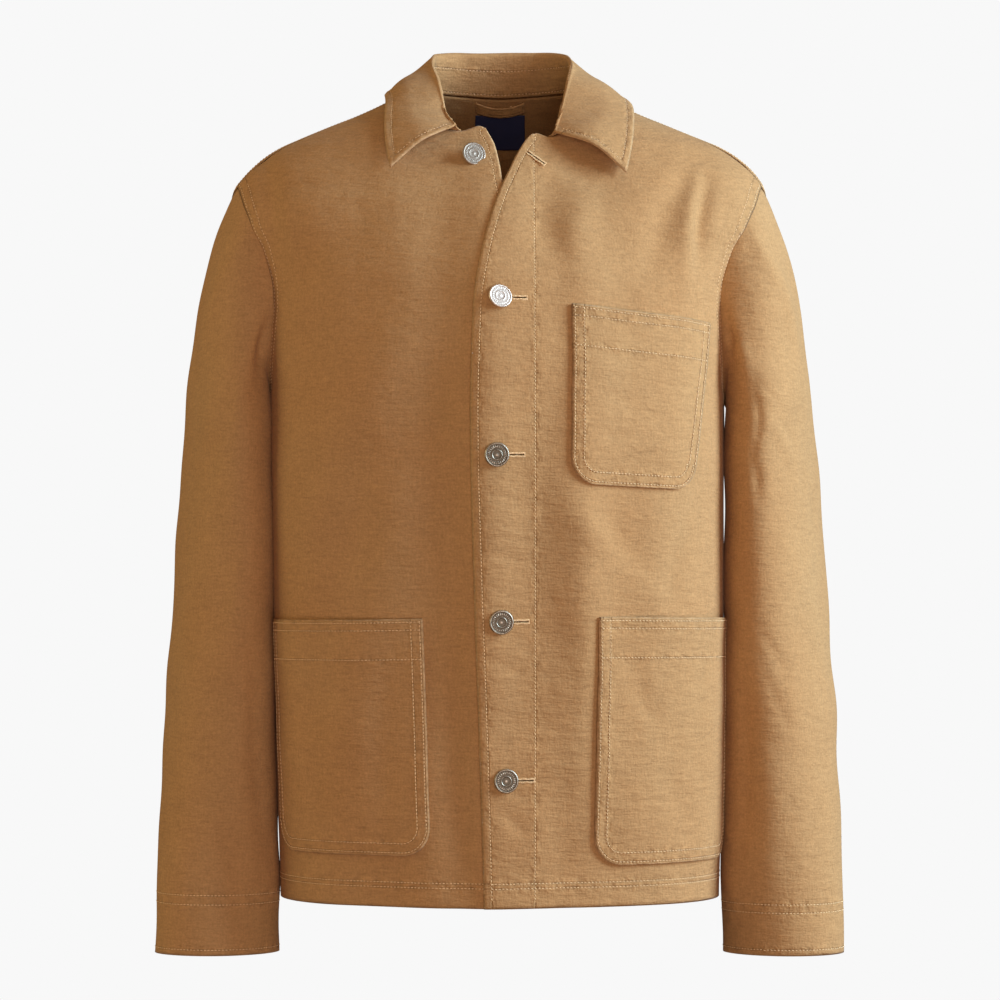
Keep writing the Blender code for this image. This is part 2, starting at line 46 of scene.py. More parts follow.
CLOTH = 0.0015  # wall of one layer of canvas
GAP = 0.00035  # clearance between neighbouring pieces
SEAM_GAP = 0.00045  # half the gap at the side and shoulder seams
PLACKET_RISE = 0.0020  # how far the upper front lies outside the lower one
HEM_Z = -0.685
PIT_Z = -0.266
TIP_Z = -0.086
SEAM_ANGLE = 84.0  # the shoulder seams run just ahead of the ridge
BACK_NECK_Z = -0.0040
ROW_PIT = 0.60  # share of a panel's rows below the underarm
ROW_TIP = 0.82  # share of its rows below the shoulder tip
BUTTON_RADIUS = 0.0101
BUTTON_PITCH_EDGE = 0.0200  # button centres from the front edge
COLLAR_LIFT = 0.0070

# Horizontal sections of the body, from the hem up to the neck.
BODY_COLUMNS = ("z", "half", "front", "back", "mid", "lean", "square")
BODY = (
    (-0.7, 0.1855, 0.1275, 0.118, 0.0, 0.0, 2.6),
    (-0.6, 0.188, 0.132, 0.118, 0.0, -0.0004, 2.6),
    (-0.5, 0.19, 0.137, 0.12, 0.0, -0.001, 2.6),
    (-0.4, 0.1915, 0.143, 0.126, 0.0, -0.0018, 2.6),
    (-0.3, 0.1922, 0.148, 0.133, 0.001, -0.0026, 2.55),
    (-0.25, 0.1925, 0.148, 0.136, 0.002, -0.0028, 2.5),
    (-0.2, 0.194, 0.144, 0.135, 0.004, -0.0028, 2.45),
    (-0.173, 0.1975, 0.139, 0.133, 0.005, -0.0026, 2.4),
    (-0.142, 0.21, 0.1285, 0.128, 0.007, -0.002, 2.35),
    (-0.12, 0.2235, 0.1195, 0.123, 0.008, -0.0012, 2.3),
    (-0.1, 0.229, 0.11, 0.117, 0.009, -0.0006, 2.25),
    (-0.086, 0.226, 0.102, 0.112, 0.01, -0.0004, 2.2),
    (-0.076, 0.219, 0.096, 0.108, 0.01, 0.0, 2.2),
    (-0.064, 0.206, 0.088, 0.103, 0.011, 0.0, 2.2),
    (-0.053, 0.189, 0.08, 0.0975, 0.011, 0.0, 2.2),
    (-0.044, 0.17, 0.074, 0.092, 0.012, 0.0, 2.2),
    (-0.034, 0.146, 0.066, 0.0855, 0.012, 0.0, 2.2),
    (-0.024, 0.121, 0.056, 0.078, 0.012, 0.0, 2.15),
    (-0.012, 0.096, 0.044, 0.069, 0.012, 0.0, 2.1),
    (0.0, 0.076, 0.031, 0.059, 0.012, 0.0, 2.0),
    (0.02, 0.056, 0.018, 0.044, 0.012, 0.0, 2.0),
)

# The fronts meet in a soft crest along the closing.
CREST_X = -0.014
CREST_WIDTH = 0.105
CREST_COLUMNS = ("z", "height")
CREST = (
    (-0.7, 0.012),
    (-0.35, 0.011),
    (-0.16, 0.008),
    (-0.06, 0.002),
    (0.0, 0.0),
)

# The armhole: height, angle of its front edge and of its back edge.
ARMHOLE_COLUMNS = ("z", "front", "back")
ARMHOLE = (
    (-0.266, 90.0, 90.0),
    (-0.261, 85.8, 93.8),
    (-0.25, 82.0, 97.3),
    (-0.23, 78.6, 101.0),
    (-0.205, 76.2, 104.0),
    (-0.175, 74.8, 106.0),
    (-0.145, 74.8, 106.0),
    (-0.12, 76.0, 101.5),
    (-0.103, 78.3, 95.2),
    (-0.092, 81.2, 88.2),
    (-0.086, 84.0, 84.0),
)

# Free edge of the wearer's left front, which lies on top, and of the right front under it.
EDGE_COLUMNS = ("z", "x")
EDGE_LEFT = (
    (-0.685, -0.013),
    (-0.54, -0.0162),
    (-0.4, -0.0195),
    (-0.29, -0.021),
    (-0.193, -0.0188),
    (-0.141, -0.0115),
    (-0.11, -0.0041),
    (-0.079, 0.0075),
    (-0.054, 0.02),
    (-0.046, 0.026),
)
EDGE_RIGHT = (
    (-0.685, 0.029),
    (-0.4, 0.026),
    (-0.25, 0.0235),
    (-0.16, 0.016),
    (-0.084, 0.0017),
    (-0.056, -0.0042),
    (-0.04, -0.012),
)

# Front necklines from the free edge to the shoulder seam: angle and height.
NECK_COLUMNS = ("angle", "z")
NECK_LEFT = (
    (19.0, -0.046),
    (22.5, -0.0448),
    (29.0, -0.0477),
    (41.0, -0.04),
    (57.0, -0.0215),
    (74.0, -0.0065),
    (84.0, 0.0),
)
NECK_RIGHT = (
    (9.5, -0.04),
    (14.0, -0.0382),
    (25.0, -0.0425),
    (41.0, -0.0385),
    (57.0, -0.0215),
    (74.0, -0.0065),
    (84.0, 0.0),
)

# Sections of a sleeve from the underarm to the cuff.
SLEEVE_COLUMNS = ("z", "outer", "inner", "depth", "mid", "turn")
SLEEVE = (
    (-0.74, 0.2917, 0.1872, 0.043, -0.02, -12.0),
    (-0.685, 0.2905, 0.1894, 0.048, -0.015, -15.0),
    (-0.6, 0.2885, 0.1914, 0.058, -0.006, -19.0),
    (-0.5, 0.2843, 0.1926, 0.069, 0.001, -21.0),
    (-0.4, 0.279, 0.1942, 0.077, 0.007, -20.0),
    (-0.34, 0.2748, 0.1958, 0.081, 0.01, -17.0),
    (-0.3, 0.2712, 0.1966, 0.082, 0.012, -14.0),
)
CUFF_Z = -0.732
CAP_Z = -0.300

# Collar sections from the centre back to a front end.
COLLAR_COLUMNS = (
    "along", "seam", "roll_x", "roll_y", "roll_z", "edge", "edge_z", "lift",
)
COLLAR_LEFT = (
    (0.0, 180.0, 0.0, 0.066, 0.0355, 180.0, -0.012, 0.004),
    (0.2, 150.0, 0.035, 0.058, 0.035, 152.0, -0.012, 0.004),
    (0.4, 116.0, 0.0575, 0.036, 0.031, 121.0, -0.0125, 0.004),
    (0.55, 86.0, 0.0615, 0.009, 0.02, 98.0, -0.015, 0.004),
    (0.7, 66.0, 0.058, -0.018, 0.004, 83.0, -0.02, 0.004),
    (0.86, 45.0, 0.051, -0.046, -0.023, 66.0, -0.036, 0.004),
    (1.0, 29.0, 0.046, -0.066, -0.042, 48.6, -0.083, 0.008),
)
COLLAR_RIGHT = (
    (0.0, 180.0, 0.0, 0.066, 0.0355, 180.0, -0.012, 0.004),
    (0.2, 150.0, 0.034, 0.058, 0.035, 152.0, -0.012, 0.004),
    (0.4, 116.0, 0.056, 0.036, 0.0315, 121.0, -0.0115, 0.004),
    (0.55, 86.0, 0.058, 0.009, 0.021, 95.5, -0.0105, 0.004),
    (0.7, 66.0, 0.053, -0.018, 0.0055, 79.0, -0.015, 0.004),
    (0.86, 45.0, 0.0455, -0.046, -0.023, 63.0, -0.031, 0.004),
    (1.0, 25.0, 0.0375, -0.065, -0.037, 44.5, -0.079, 0.007),
)
FOLD_BACK = 0.0030
FOLD_FRONT = 0.0020

# Patch pockets: side of the wearer, then angle and height of the corners, and the bottom radius.
POCKET_COLUMNS = (
    "name", "side", "in_top", "in_top_z", "out_top", "out_top_z",
    "in_low", "in_low_z", "out_low", "out_low_z", "radius",
)
POCKETS = (
    ("chest_pocket", 1, 23.5, -0.1911, 66.3, -0.204, 21.8, -0.337, 58.1, -0.343, 0.022),
    ("lower_pocket_left", 1, 30.8, -0.446, 82.0, -0.45, 31.5, -0.6506, 81.0, -0.65, 0.024),
    ("lower_pocket_right", -1, 24.4, -0.448, 76.0, -0.451, 23.6, -0.6424, 74.0, -0.6424, 0.024),
)

# Buttons from the neck down; the top one is undone and stays on the right front.
BUTTONS = (
    ("button_2", -0.1868),
    ("button_3", -0.3142),
    ("button_4", -0.4499),
    ("button_5", -0.5798),
)
TOP_BUTTON = (-0.0229, -0.0650)
TOP_BUTTONHOLE = (0.0245, -0.0642)
TOP_TILT = -0.72  # the empty top buttonhole runs square to the turned-back edge
HOLE_LENGTH = 0.0220
TOP_HOLE_LENGTH = 0.0135
SHANK = 0.0019

INSIDE = CLOTH + 0.0007  # depth of what is sewn to the inner face of the back


# ---------------------------------------------------------------- sizes of the looks

UNDER_PANEL = 0.0014  # a sleeve starts this far under the panels' edge
FINE_ROWS = ((130, 90, 56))
FINE_ACROSS = 106
FINE_BACK = 78
SLEEVE_AROUND = 120
SLEEVE_CAP = 60
SLEEVE_DOWN = 150
COLLAR_ALONG = 91
COLLAR_PROFILE = 71
POCKET_UP = 90
POCKET_ACROSS = 70
CUFF_EDGE_ROW = 0.0050
CUFF_ROWS = {1.0: (0.0360, 0.0430), -1.0: (0.0430, 0.0510)}
STAND_ROW = 0.0235
FACING_X = 0.0281
POCKET_SKIN = 0.0026  # outer face of a pocket's edge above the front
POCKET_ROW = 0.0100
POCKET_BAND = 0.0330
POCKET_GAPE = {"chest_pocket": 0.0010, "lower_pocket_left": 0.0022, "lower_pocket_right": 0.0022}
BUTTON_LEAN = {
    "button_1": (0.40, -0.34),
    "button_2": (0.30, 0.10),
    "button_3": (0.02, 0.02),
    "button_4": (0.04, -0.02),
    "button_5": (0.03, 0.02),
}

# The room and the light.
ROOM_RADIUS = 7.0
ROOM_FLOOR = -1.45
ROOM_TOP = 9.0
BACKDROP = 0.939
WORLD_COLOUR = (1.0, 0.66, 0.42, 1.0)
WORLD_LIGHT = 0.16
CAMERA_AT = (0.0, -3.6, -0.351)
LENS = 152.5
SENSOR = 36.0
LIGHT_TARGET = (0.0, 0.0, -0.32)
# Soft lights: name, azimuth, height and distance from the target, size, power, colour.
LAMPS = (
    ("key", 74.0, 1.0, 2.6, (1.4, 1.8), 134.0, (0.60, 0.81, 1.0)),
    ("fill", -90.0, 0.7, 2.6, (1.6, 2.0), 21.0, (1.0, 0.88, 0.52)),
    ("front_low", 10.0, -1.0, 3.5, (2.0, 1.0), 30.0, (1.0, 0.84, 0.80)),
    ("front", 4.0, 0.35, 4.2, (1.2, 1.2), 14.0, (1.0, 0.88, 0.78)),
    ("top", -6.0, 3.2, 1.2, (2.0, 2.0), 9.0, (1.0, 0.75, 0.50)),
)


def column(table, names, name):
    """One column of a table as numbers."""
    return np.array([row[names.index(name)] for row in table], dtype=float)


def smooth(knots, values, at):
    """Monotone cubic through a table's points."""
    knots = np.asarray(knots, dtype=float)
    values = np.asarray(values, dtype=float)
    if knots[0] > knots[-1]:
        knots = knots[::-1]
        values = values[::-1]
    step = np.diff(knots)
    rise = np.diff(values) / step
    slope = np.empty(len(knots))
    slope[0] = rise[0]
    slope[-1] = rise[-1]
    before = rise[:-1]
    after = rise[1:]
    same = before * after > 0.0
    total = np.where(same, before + after, 1.0)
    slope[1:-1] = np.where(same, 2.0 * before * after / total, 0.0)
    at = np.clip(at, knots[0], knots[-1])
    i = np.clip(np.searchsorted(knots, at) - 1, 0, len(step) - 1)
    t = (at - knots[i]) / step[i]
    a = values[i] * (1.0 + 2.0 * t) * (1.0 - t) ** 2
    b = values[i + 1] * t * t * (3.0 - 2.0 * t)
    c = slope[i] * step[i] * t * (1.0 - t) ** 2
    d = slope[i + 1] * step[i] * t * t * (t - 1.0)
    return a + b + c + d


def along(table, names, key, value, at):
    """A table's column `value` read smoothly at `key`."""
    return smooth(column(table, names, key), column(table, names, value), at)


def body_column(name, z):
    return along(BODY, BODY_COLUMNS, "z", name, z)


def body_surface(angle, z):
    """Outer face of the body; angle in degrees from the centre front, positive to +X."""
    ring = {name: body_column(name, z) for name in BODY_COLUMNS[1:]}
    turn = np.radians(angle)
    across = np.abs(np.sin(turn)) / ring["half"]
    deep = np.where(np.cos(turn) > 0.0, ring["front"], ring["back"])
    power = np.where(np.cos(turn) > 0.0, ring["square"], 2.15)
    reach = (across**power + (np.abs(np.cos(turn)) / deep) ** power) ** (-1.0 / power)
    x = ring["lean"] + reach * np.sin(turn)
    y = ring["mid"] - reach * np.cos(turn)
    away = np.sqrt((x - CREST_X) ** 2 + 0.008**2) / CREST_WIDTH
    crest = along(CREST, CREST_COLUMNS, "z", "height", z) * np.clip(1.0 - away, 0.0, 1.0) ** 1.2
    y = y - np.where(np.cos(turn) > 0.0, crest, 0.0)
    return np.stack([x, y, z + 0.0 * x], axis=-1)


def body_point(angle, z, out=0.0):
    """A point of the body, moved `out` along the outward normal."""
    angle, z, out = np.broadcast_arrays(*[np.asarray(v, dtype=float) for v in (angle, z, out)])
    point = body_surface(angle, z)
    around = body_surface(angle + 0.2, z) - body_surface(angle - 0.2, z)
    upward = body_surface(angle, z + 0.0004) - body_surface(angle, z - 0.0004)
    normal = np.cross(around, upward)
    normal /= np.linalg.norm(normal, axis=-1, keepdims=True)
    return point + normal * out[..., None]


def angle_at(x, z):
    """The angle where the front of the body has this x at this height."""
    half = body_column("half", z)
    front = body_column("front", z)
    power = body_column("square", z)
    part = np.clip(np.abs(x / half), 0.0, 0.999)
    deep = front * (1.0 - part**power) ** (1.0 / power)
    return np.degrees(np.arctan2(x, deep))


def step_up(value, low, high):
    """0 below low, 1 above high, smooth between."""
    t = np.clip((value - low) / (high - low), 0.0, 1.0)
    return t * t * (3.0 - 2.0 * t)


def neck_z(neck, angle):
    """Height of the neck seam at an angle, on a front and round the back."""
    front = smooth(column(neck, NECK_COLUMNS, "angle"), column(neck, NECK_COLUMNS, "z"), angle)
    round_back = np.clip((angle - SEAM_ANGLE) / (180.0 - SEAM_ANGLE), 0.0, 1.0)
    return np.where(angle > SEAM_ANGLE, BACK_NECK_Z * round_back**1.5, front)


def row_steps(low, middle, high):
    """Row positions that keep the underarm and the shoulder tip as rows."""
    parts = (
        np.linspace(0.0, ROW_PIT, low, endpoint=False),
        np.linspace(ROW_PIT, ROW_TIP, middle, endpoint=False),
        np.linspace(ROW_TIP, 1.0, high),
    )
    return np.concatenate(parts)[:, None]


def side_angle(t_z, edge):
    """Outer edge of a panel by height: side seam, armhole, then shoulder seam."""
    arm = along(ARMHOLE, ARMHOLE_COLUMNS, "z", edge, np.clip(t_z, PIT_Z, TIP_Z))
    return np.where(t_z > TIP_Z, SEAM_ANGLE, arm)


def seam_clear(z):
    """Half the gap at a seam, as an angle at this height."""
    return np.degrees(SEAM_GAP / body_column("half", z))


def sleeve_ring(side, z, count):
    """A level section of the sleeve, starting from its outer line and running by the front."""
    row = {name: along(SLEEVE, SLEEVE_COLUMNS, "z", name, z) for name in SLEEVE_COLUMNS[1:]}
    turn = math.radians(float(row["turn"]))
    reach = 0.5 * (row["outer"] - row["inner"])
    wide = math.sqrt(reach**2 - (row["depth"] * math.sin(turn)) ** 2) / math.cos(turn)
    angle = 2.0 * math.pi * np.arange(count) / count
    u = wide * np.cos(angle)
    v = -row["depth"] * np.sin(angle)
    x = 0.5 * (row["outer"] + row["inner"]) + u * math.cos(turn) - v * math.sin(turn)
    y = row["mid"] + u * math.sin(turn) + v * math.cos(turn)
    return np.stack([side * x, y, np.full(count, float(z))], axis=-1)


def collar_half(table, neck, side, count, profile):
    """Collar profiles from the centre back to one front end."""
    t = np.linspace(0.0, 1.0, count)
    row = {n: along(table, COLLAR_COLUMNS, "along", n, t) for n in COLLAR_COLUMNS[1:]}
    seam = body_point(side * row["seam"], neck_z(neck, row["seam"]))
    inward = np.stack([-seam[:, 0], 0.004 - seam[:, 1], np.zeros(count)], axis=-1)
    inward /= np.linalg.norm(inward, axis=1, keepdims=True)
    up = np.array([0.0, 0.0, 1.0])
    radius = (FOLD_BACK + (FOLD_FRONT - FOLD_BACK) * t)[:, None]
    roll = np.stack([side * row["roll_x"], row["roll_y"], row["roll_z"]], axis=-1)
    foot = seam + inward * (CLOTH + 0.0006) + up * 0.0008
    inside = roll + inward * radius - up * radius
    outside = roll - inward * radius - up * radius
    edge = body_point(side * row["edge"], row["edge_z"], COLLAR_LIFT)
    for _ in range(count // 2):
        edge[1:-1] = 0.5 * edge[1:-1] + 0.25 * (edge[:-2] + edge[2:])
    middle = 0.5 * (outside + edge)
    bow = np.cross(edge - outside, np.gradient(edge, axis=0))
    bow /= np.linalg.norm(bow, axis=1, keepdims=True)
    middle = middle + (-side) * bow * row["lift"][:, None]
    points = np.stack([foot, inside, roll, outside, middle, edge], axis=1)
    knots = np.array([0.0, 0.42, 0.50, 0.58, 0.79, 1.0])
    share = np.linspace(0.0, 1.0, profile)
    rows = [np.stack([smooth(knots, p[:, k], share) for k in range(3)], axis=-1) for p in points]
    return np.array(rows)


def collar_grid(count, profile):
    """The whole collar, from the wearer's left end by the back to the right end."""
    left = collar_half(COLLAR_LEFT, NECK_LEFT, 1.0, count, profile)
    right = collar_half(COLLAR_RIGHT, NECK_RIGHT, -1.0, count, profile)
    return np.concatenate([left[::-1], right[1:]], axis=0)


# ---------------------------------------------------------------- folds

# Creases: position along the piece and height of both ends, width, height, bow.
# On the body the position is x seen from the front; on a sleeve it is the turn in degrees
# from the outer line by the front.
FOLDS_FRONT = (
    (-0.196, -0.07, -0.176, -0.165, 0.01, -0.004, 0.004), (-0.18, -0.11, -0.168, -0.19, 0.01, 0.0022, 0.003),
    (-0.098, -0.228, -0.168, -0.437, 0.024, 0.0022, 0.01),
    (-0.066, -0.269, -0.139, -0.466, 0.024, -0.0026, 0.012),
    (-0.15, -0.2, -0.182, -0.33, 0.018, -0.002, 0.006), (-0.12, -0.12, -0.176, -0.18, 0.016, -0.0018, 0.006),
    (-0.052, -0.12, -0.06, -0.33, 0.022, -0.0014, -0.006), (-0.054, -0.15, -0.054, -0.6, 0.026, -0.003, 0.0),
    (-0.008, -0.13, -0.008, -0.7, 0.03, 0.0062, 0.0), (0.048, -0.062, 0.08, -0.086, 0.013, -0.004, 0.0),
    (0.066, -0.18, 0.066, -0.7, 0.03, 0.0042, 0.0), (0.066, -0.3, 0.068, -0.56, 0.026, 0.007, 0.0),
    (0.064, -0.102, 0.06, -0.155, 0.016, 0.0042, 0.0), (-0.036, -0.48, -0.03, -0.67, 0.013, -0.003, 0.003),
    (-0.064, -0.52, -0.052, -0.68, 0.02, 0.0026, 0.004), (-0.036, -0.33, -0.034, -0.47, 0.012, -0.0016, 0.0),
    (0.16, -0.077, 0.13, -0.15, 0.013, -0.0044, 0.006), (0.13, -0.14, 0.088, -0.205, 0.018, -0.0018, 0.008),
    (0.173, -0.085, 0.166, -0.15, 0.007, -0.005, 0.002), (0.165, -0.08, 0.153, -0.18, 0.008, 0.0028, 0.003),
    (0.041, -0.335, 0.139, -0.429, 0.016, 0.0025, 0.008),
    (0.078, -0.355, 0.144, -0.429, 0.012, -0.0021, 0.006), (0.148, -0.38, 0.144, -0.433, 0.01, -0.002, 0.003),
    (0.045, -0.44, 0.075, -0.52, 0.02, -0.0016, 0.004), (0.054, -0.18, 0.05, -0.33, 0.016, -0.0012, 0.003),
    (0.045, -0.59, 0.06, -0.665, 0.016, -0.0016, 0.003), (0.03, -0.1, 0.046, -0.15, 0.014, -0.0026, 0.004),
    (-0.012, -0.209, 0.026, -0.204, 0.0032, -0.0008, 0.001),
    (-0.01, -0.236, 0.02, -0.228, 0.003, -0.0007, 0.001),
    (-0.014, -0.262, 0.024, -0.252, 0.0034, -0.0009, 0.001),
    (-0.012, -0.286, 0.016, -0.279, 0.003, -0.0007, 0.001),
    (-0.01, -0.345, 0.018, -0.352, 0.0032, -0.0008, 0.001),
    (-0.008, -0.392, 0.02, -0.4, 0.0034, -0.0008, 0.001),
    (-0.01, -0.482, 0.022, -0.492, 0.0034, -0.0009, 0.001),
    (-0.006, -0.54, 0.022, -0.528, 0.0032, -0.0008, 0.001),
    (0.002, -0.606, 0.026, -0.625, 0.006, -0.001, 0.002),
)
FOLDS_BACK = (
    (-0.17, -0.12, -0.1, -0.26, 0.018, -0.0034, 0.01), (0.165, -0.13, 0.108, -0.25, 0.016, -0.003, 0.009),
    (-0.14, -0.11, -0.07, -0.21, 0.02, 0.0022, 0.01), (0.178, -0.22, 0.12, -0.33, 0.016, -0.0022, 0.008),
    (-0.07, -0.3, -0.09, -0.56, 0.03, 0.003, 0.01), (0.06, -0.33, 0.085, -0.64, 0.028, -0.0028, 0.01),
    (0.01, -0.38, 0.0, -0.66, 0.026, 0.0024, 0.006), (-0.12, -0.42, -0.09, -0.66, 0.024, -0.0026, 0.008),
    (0.13, -0.4, 0.115, -0.62, 0.024, 0.0024, 0.006), (-0.05, -0.04, 0.055, -0.046, 0.012, -0.0014, 0.004),
    (-0.09, -0.48, 0.04, -0.505, 0.014, -0.0014, 0.008), (0.02, -0.26, 0.11, -0.3, 0.014, -0.0012, 0.006),
)
FOLDS_SLEEVE_LEFT = (
    (36.0, -0.105, 13.0, -0.235, 0.008, 0.0026, 0.002), (20.0, -0.12, -4.0, -0.25, 0.012, -0.0018, 0.003),
    (108.0, -0.14, 110.0, -0.172, 0.01, -0.0032, 0.002), (108.0, -0.2, 122.0, -0.224, 0.009, -0.0046, 0.002),
    (91.0, -0.216, 106.0, -0.25, 0.01, 0.0026, 0.003), (89.0, -0.262, 93.0, -0.305, 0.008, -0.0024, 0.003),
    (93.0, -0.32, 83.0, -0.345, 0.007, -0.0022, 0.002), (84.0, -0.25, 43.0, -0.286, 0.004, -0.0009, 0.001),
    (73.0, -0.272, 33.0, -0.305, 0.0042, -0.001, 0.001), (67.0, -0.3, 41.0, -0.33, 0.004, -0.0008, 0.001),
    (79.0, -0.462, 56.0, -0.5, 0.005, -0.001, 0.002), (78.0, -0.5, 59.0, -0.545, 0.005, -0.0009, 0.002),
    (106.0, -0.5, 126.0, -0.66, 0.009, -0.0024, 0.004), (84.0, -0.56, 95.0, -0.68, 0.012, 0.0018, 0.004),
    (13.0, -0.33, 34.0, -0.6, 0.024, -0.0016, 0.008), (276.0, -0.18, 186.0, -0.29, 0.014, -0.0036, 0.006),
    (268.0, -0.28, 193.0, -0.36, 0.013, -0.0028, 0.006), (243.0, -0.4, 178.0, -0.44, 0.01, -0.0026, 0.004),
    (242.0, -0.47, 178.0, -0.5, 0.01, -0.002, 0.004), (232.0, -0.54, 247.0, -0.69, 0.018, 0.002, 0.005),
)
FOLDS_SLEEVE_RIGHT = (
    (37.0, -0.11, 19.0, -0.22, 0.009, 0.002, 0.002), (106.0, -0.14, 110.0, -0.18, 0.011, -0.0028, 0.002),
    (110.0, -0.2, 115.0, -0.24, 0.01, -0.0034, 0.002), (89.0, -0.24, 93.0, -0.3, 0.011, 0.002, 0.003),
    (64.0, -0.29, 35.0, -0.33, 0.01, -0.0014, 0.003), (73.0, -0.38, 58.0, -0.45, 0.013, -0.0018, 0.004),
    (19.0, -0.3, 32.0, -0.56, 0.026, 0.0016, 0.008), (82.0, -0.5, 111.0, -0.65, 0.012, 0.0018, 0.004),
    (101.0, -0.48, 128.0, -0.64, 0.009, -0.0022, 0.004), (58.0, -0.56, 69.0, -0.69, 0.014, -0.0016, 0.004),
    (271.0, -0.19, 181.0, -0.3, 0.014, -0.0034, 0.006), (259.0, -0.3, 189.0, -0.37, 0.012, -0.0026, 0.006),
    (242.0, -0.42, 178.0, -0.45, 0.01, -0.0024, 0.004), (231.0, -0.52, 239.0, -0.68, 0.018, 0.0018, 0.005),
)
FOLDS_POCKET = {
    "chest_pocket": (
        (0.07, -0.225, 0.125, -0.238, 0.006, -0.0007, 0.002),
        (0.085, -0.262, 0.12, -0.276, 0.006, -0.0007, 0.002),
        (0.072, -0.29, 0.11, -0.3, 0.007, -0.0006, 0.002),
    ),
    "lower_pocket_left": (
        (0.107, -0.486, 0.131, -0.54, 0.009, -0.0014, 0.003),
        (0.139, -0.581, 0.168, -0.638, 0.01, -0.0014, 0.003),
        (0.085, -0.5, 0.095, -0.61, 0.016, 0.0014, 0.004),
    ),
    "lower_pocket_right": (
        (-0.09, -0.47, -0.094, -0.62, 0.012, -0.0016, 0.003),
        (-0.12, -0.48, -0.128, -0.62, 0.018, 0.0014, 0.003),
        (-0.15, -0.49, -0.154, -0.6, 0.014, -0.001, 0.003),
    ),
}
SLEEVE_GIRTH = 0.30  # turns a sleeve fold's degrees into a length


def folds(table, s, z):
    """Height of the listed creases at (s, z)."""
    total = np.zeros(np.broadcast(s, z).shape)
    for s0, z0, s1, z1, width, height, bow in table:
        ds, dz = s1 - s0, z1 - z0
        length = math.hypot(ds, dz)
        run = ((s - s0) * ds + (z - z0) * dz) / length**2
        off = ((s - s0) * dz - (z - z0) * ds) / length
        t = np.clip(run, 0.0, 1.0)
        off = off - bow * np.sin(math.pi * t)
        beyond = (run - t) * length / (1.6 * width)
        taper = np.sin(math.pi * (0.12 + 0.76 * t)) ** 0.8
        total += height * taper * np.exp(-((off / width) ** 2) - beyond**2)
    return total


def ripple(s, z, seed, size, height):
    """Slow uneven undulation of hanging cloth."""
    draw = np.random.default_rng(seed)
    total = np.zeros(np.broadcast(s, z).shape)
    for _ in range(9):
        turn = draw.uniform(0.0, math.pi)
        wave = 2.0 * math.pi / (size * draw.uniform(0.6, 1.7))
        phase = draw.uniform(0.0, 2.0 * math.pi)
        total += np.sin(wave * (s * math.cos(turn) + z * math.sin(turn)) + phase)
    return total * height / 3.0


def front_relief(x, z):
    """Folds of the fronts, and the dimples round the closed buttons."""
    relief = folds(FOLDS_FRONT, x, z) + ripple(x, z, 3, 0.085, 0.0007)
    relief = relief * step_up(-z, 0.030, 0.075)
    relief = np.where(z < -0.26, relief * (1.0 - 0.8 * step_up(np.abs(x), 0.165, 0.190)), relief)
    for _, button_z in BUTTONS:
        button_x = edge_x(EDGE_LEFT, button_z) + BUTTON_PITCH_EDGE
        away = (x - button_x) ** 2 + (z - button_z) ** 2
        relief = relief - 0.0010 * np.exp(-away / 0.012**2)
    return relief


# ---------------------------------------------------------------- meshes


def edge_x(table, z):
    return along(table, EDGE_COLUMNS, "z", "x", z)


def placket_rise(angle, rise=PLACKET_RISE):
    """Lift of the upper front over the lower one, by angle from the centre front."""
    return rise * (1.0 - step_up(angle, 12.0, 24.0))


def run_along(path):
    """Distance from a path's start to each of its points."""
    return np.concatenate([[0.0], np.cumsum(np.linalg.norm(np.diff(path, axis=0), axis=1))])


def even_rows(angle, z, out, count):
    """Angles, heights and lifts at even distances along each row of a patch."""
    found = []
    for row_angle, row_z, row_out in zip(angle, z, out):
        path = body_point(row_angle, row_z)
        run = run_along(path)
        want = np.linspace(0.0, run[-1], count)
        found.append([np.interp(want, run, v) for v in (row_angle, row_z, row_out)])
    return np.array(found).transpose(1, 0, 2)


def front_panel(edge, neck, side, rise, across, steps):
    """A front's angles, heights and lifts: rows from the free edge to the side."""
    t = row_steps(*steps)
    p = np.linspace(0.0, 1.0, 160)[None, :]
    z_in = np.interp(t, (0.0, ROW_PIT, ROW_TIP, 1.0), (HEM_Z, -0.255, -0.105, edge[-1][0]))
    z_out = np.interp(t, (0.0, ROW_PIT, ROW_TIP, 1.0), (HEM_Z, PIT_Z, TIP_Z, 0.0))
    inner = side * angle_at(edge_x(edge, z_in), z_in)
    outer = side_angle(z_out, "front") - seam_clear(z_out)
    neck_angle = smooth(np.linspace(0.0, 1.0, len(neck)), column(neck, NECK_COLUMNS, "angle"), p)
    neck_height = neck_z(neck, neck_angle)
    pull = step_up(t, 0.70, 1.0) ** 1.5
    angle = inner + (outer - inner) * p
    angle = angle + pull * (neck_angle - (neck_angle[0, 0] + (SEAM_ANGLE - neck_angle[0, 0]) * p))
    z = z_in + (z_out - z_in) * p
    z = z + pull * (neck_height - neck_height[0, 0] * (1.0 - p))
    out = placket_rise(angle, rise)
    return even_rows(side * angle, z, out, across)


def back_panel(across, steps):
    """The back's angles and heights: rows from the wearer's left side to the right side."""
    t = row_steps(*steps)
    p = np.linspace(0.0, 1.0, 160)[None, :]
    z_side = np.interp(t, (0.0, ROW_PIT, ROW_TIP, 1.0), (HEM_Z, PIT_Z, TIP_Z, 0.0))
    z_mid = np.interp(t, (0.0, ROW_PIT, ROW_TIP, 1.0), (HEM_Z, -0.262, -0.085, BACK_NECK_Z))
    start = side_angle(z_side, "back") + seam_clear(z_side)
    angle = start + (180.0 - start) * p
    z = z_side + (z_mid - z_side) * p**1.5
    half = even_rows(angle, z, 0.0 * angle, across)
    mirrored = even_rows(360.0 - angle, z, 0.0 * angle, across)
    return np.concatenate([half, mirrored[:, :, -2::-1]], axis=2)


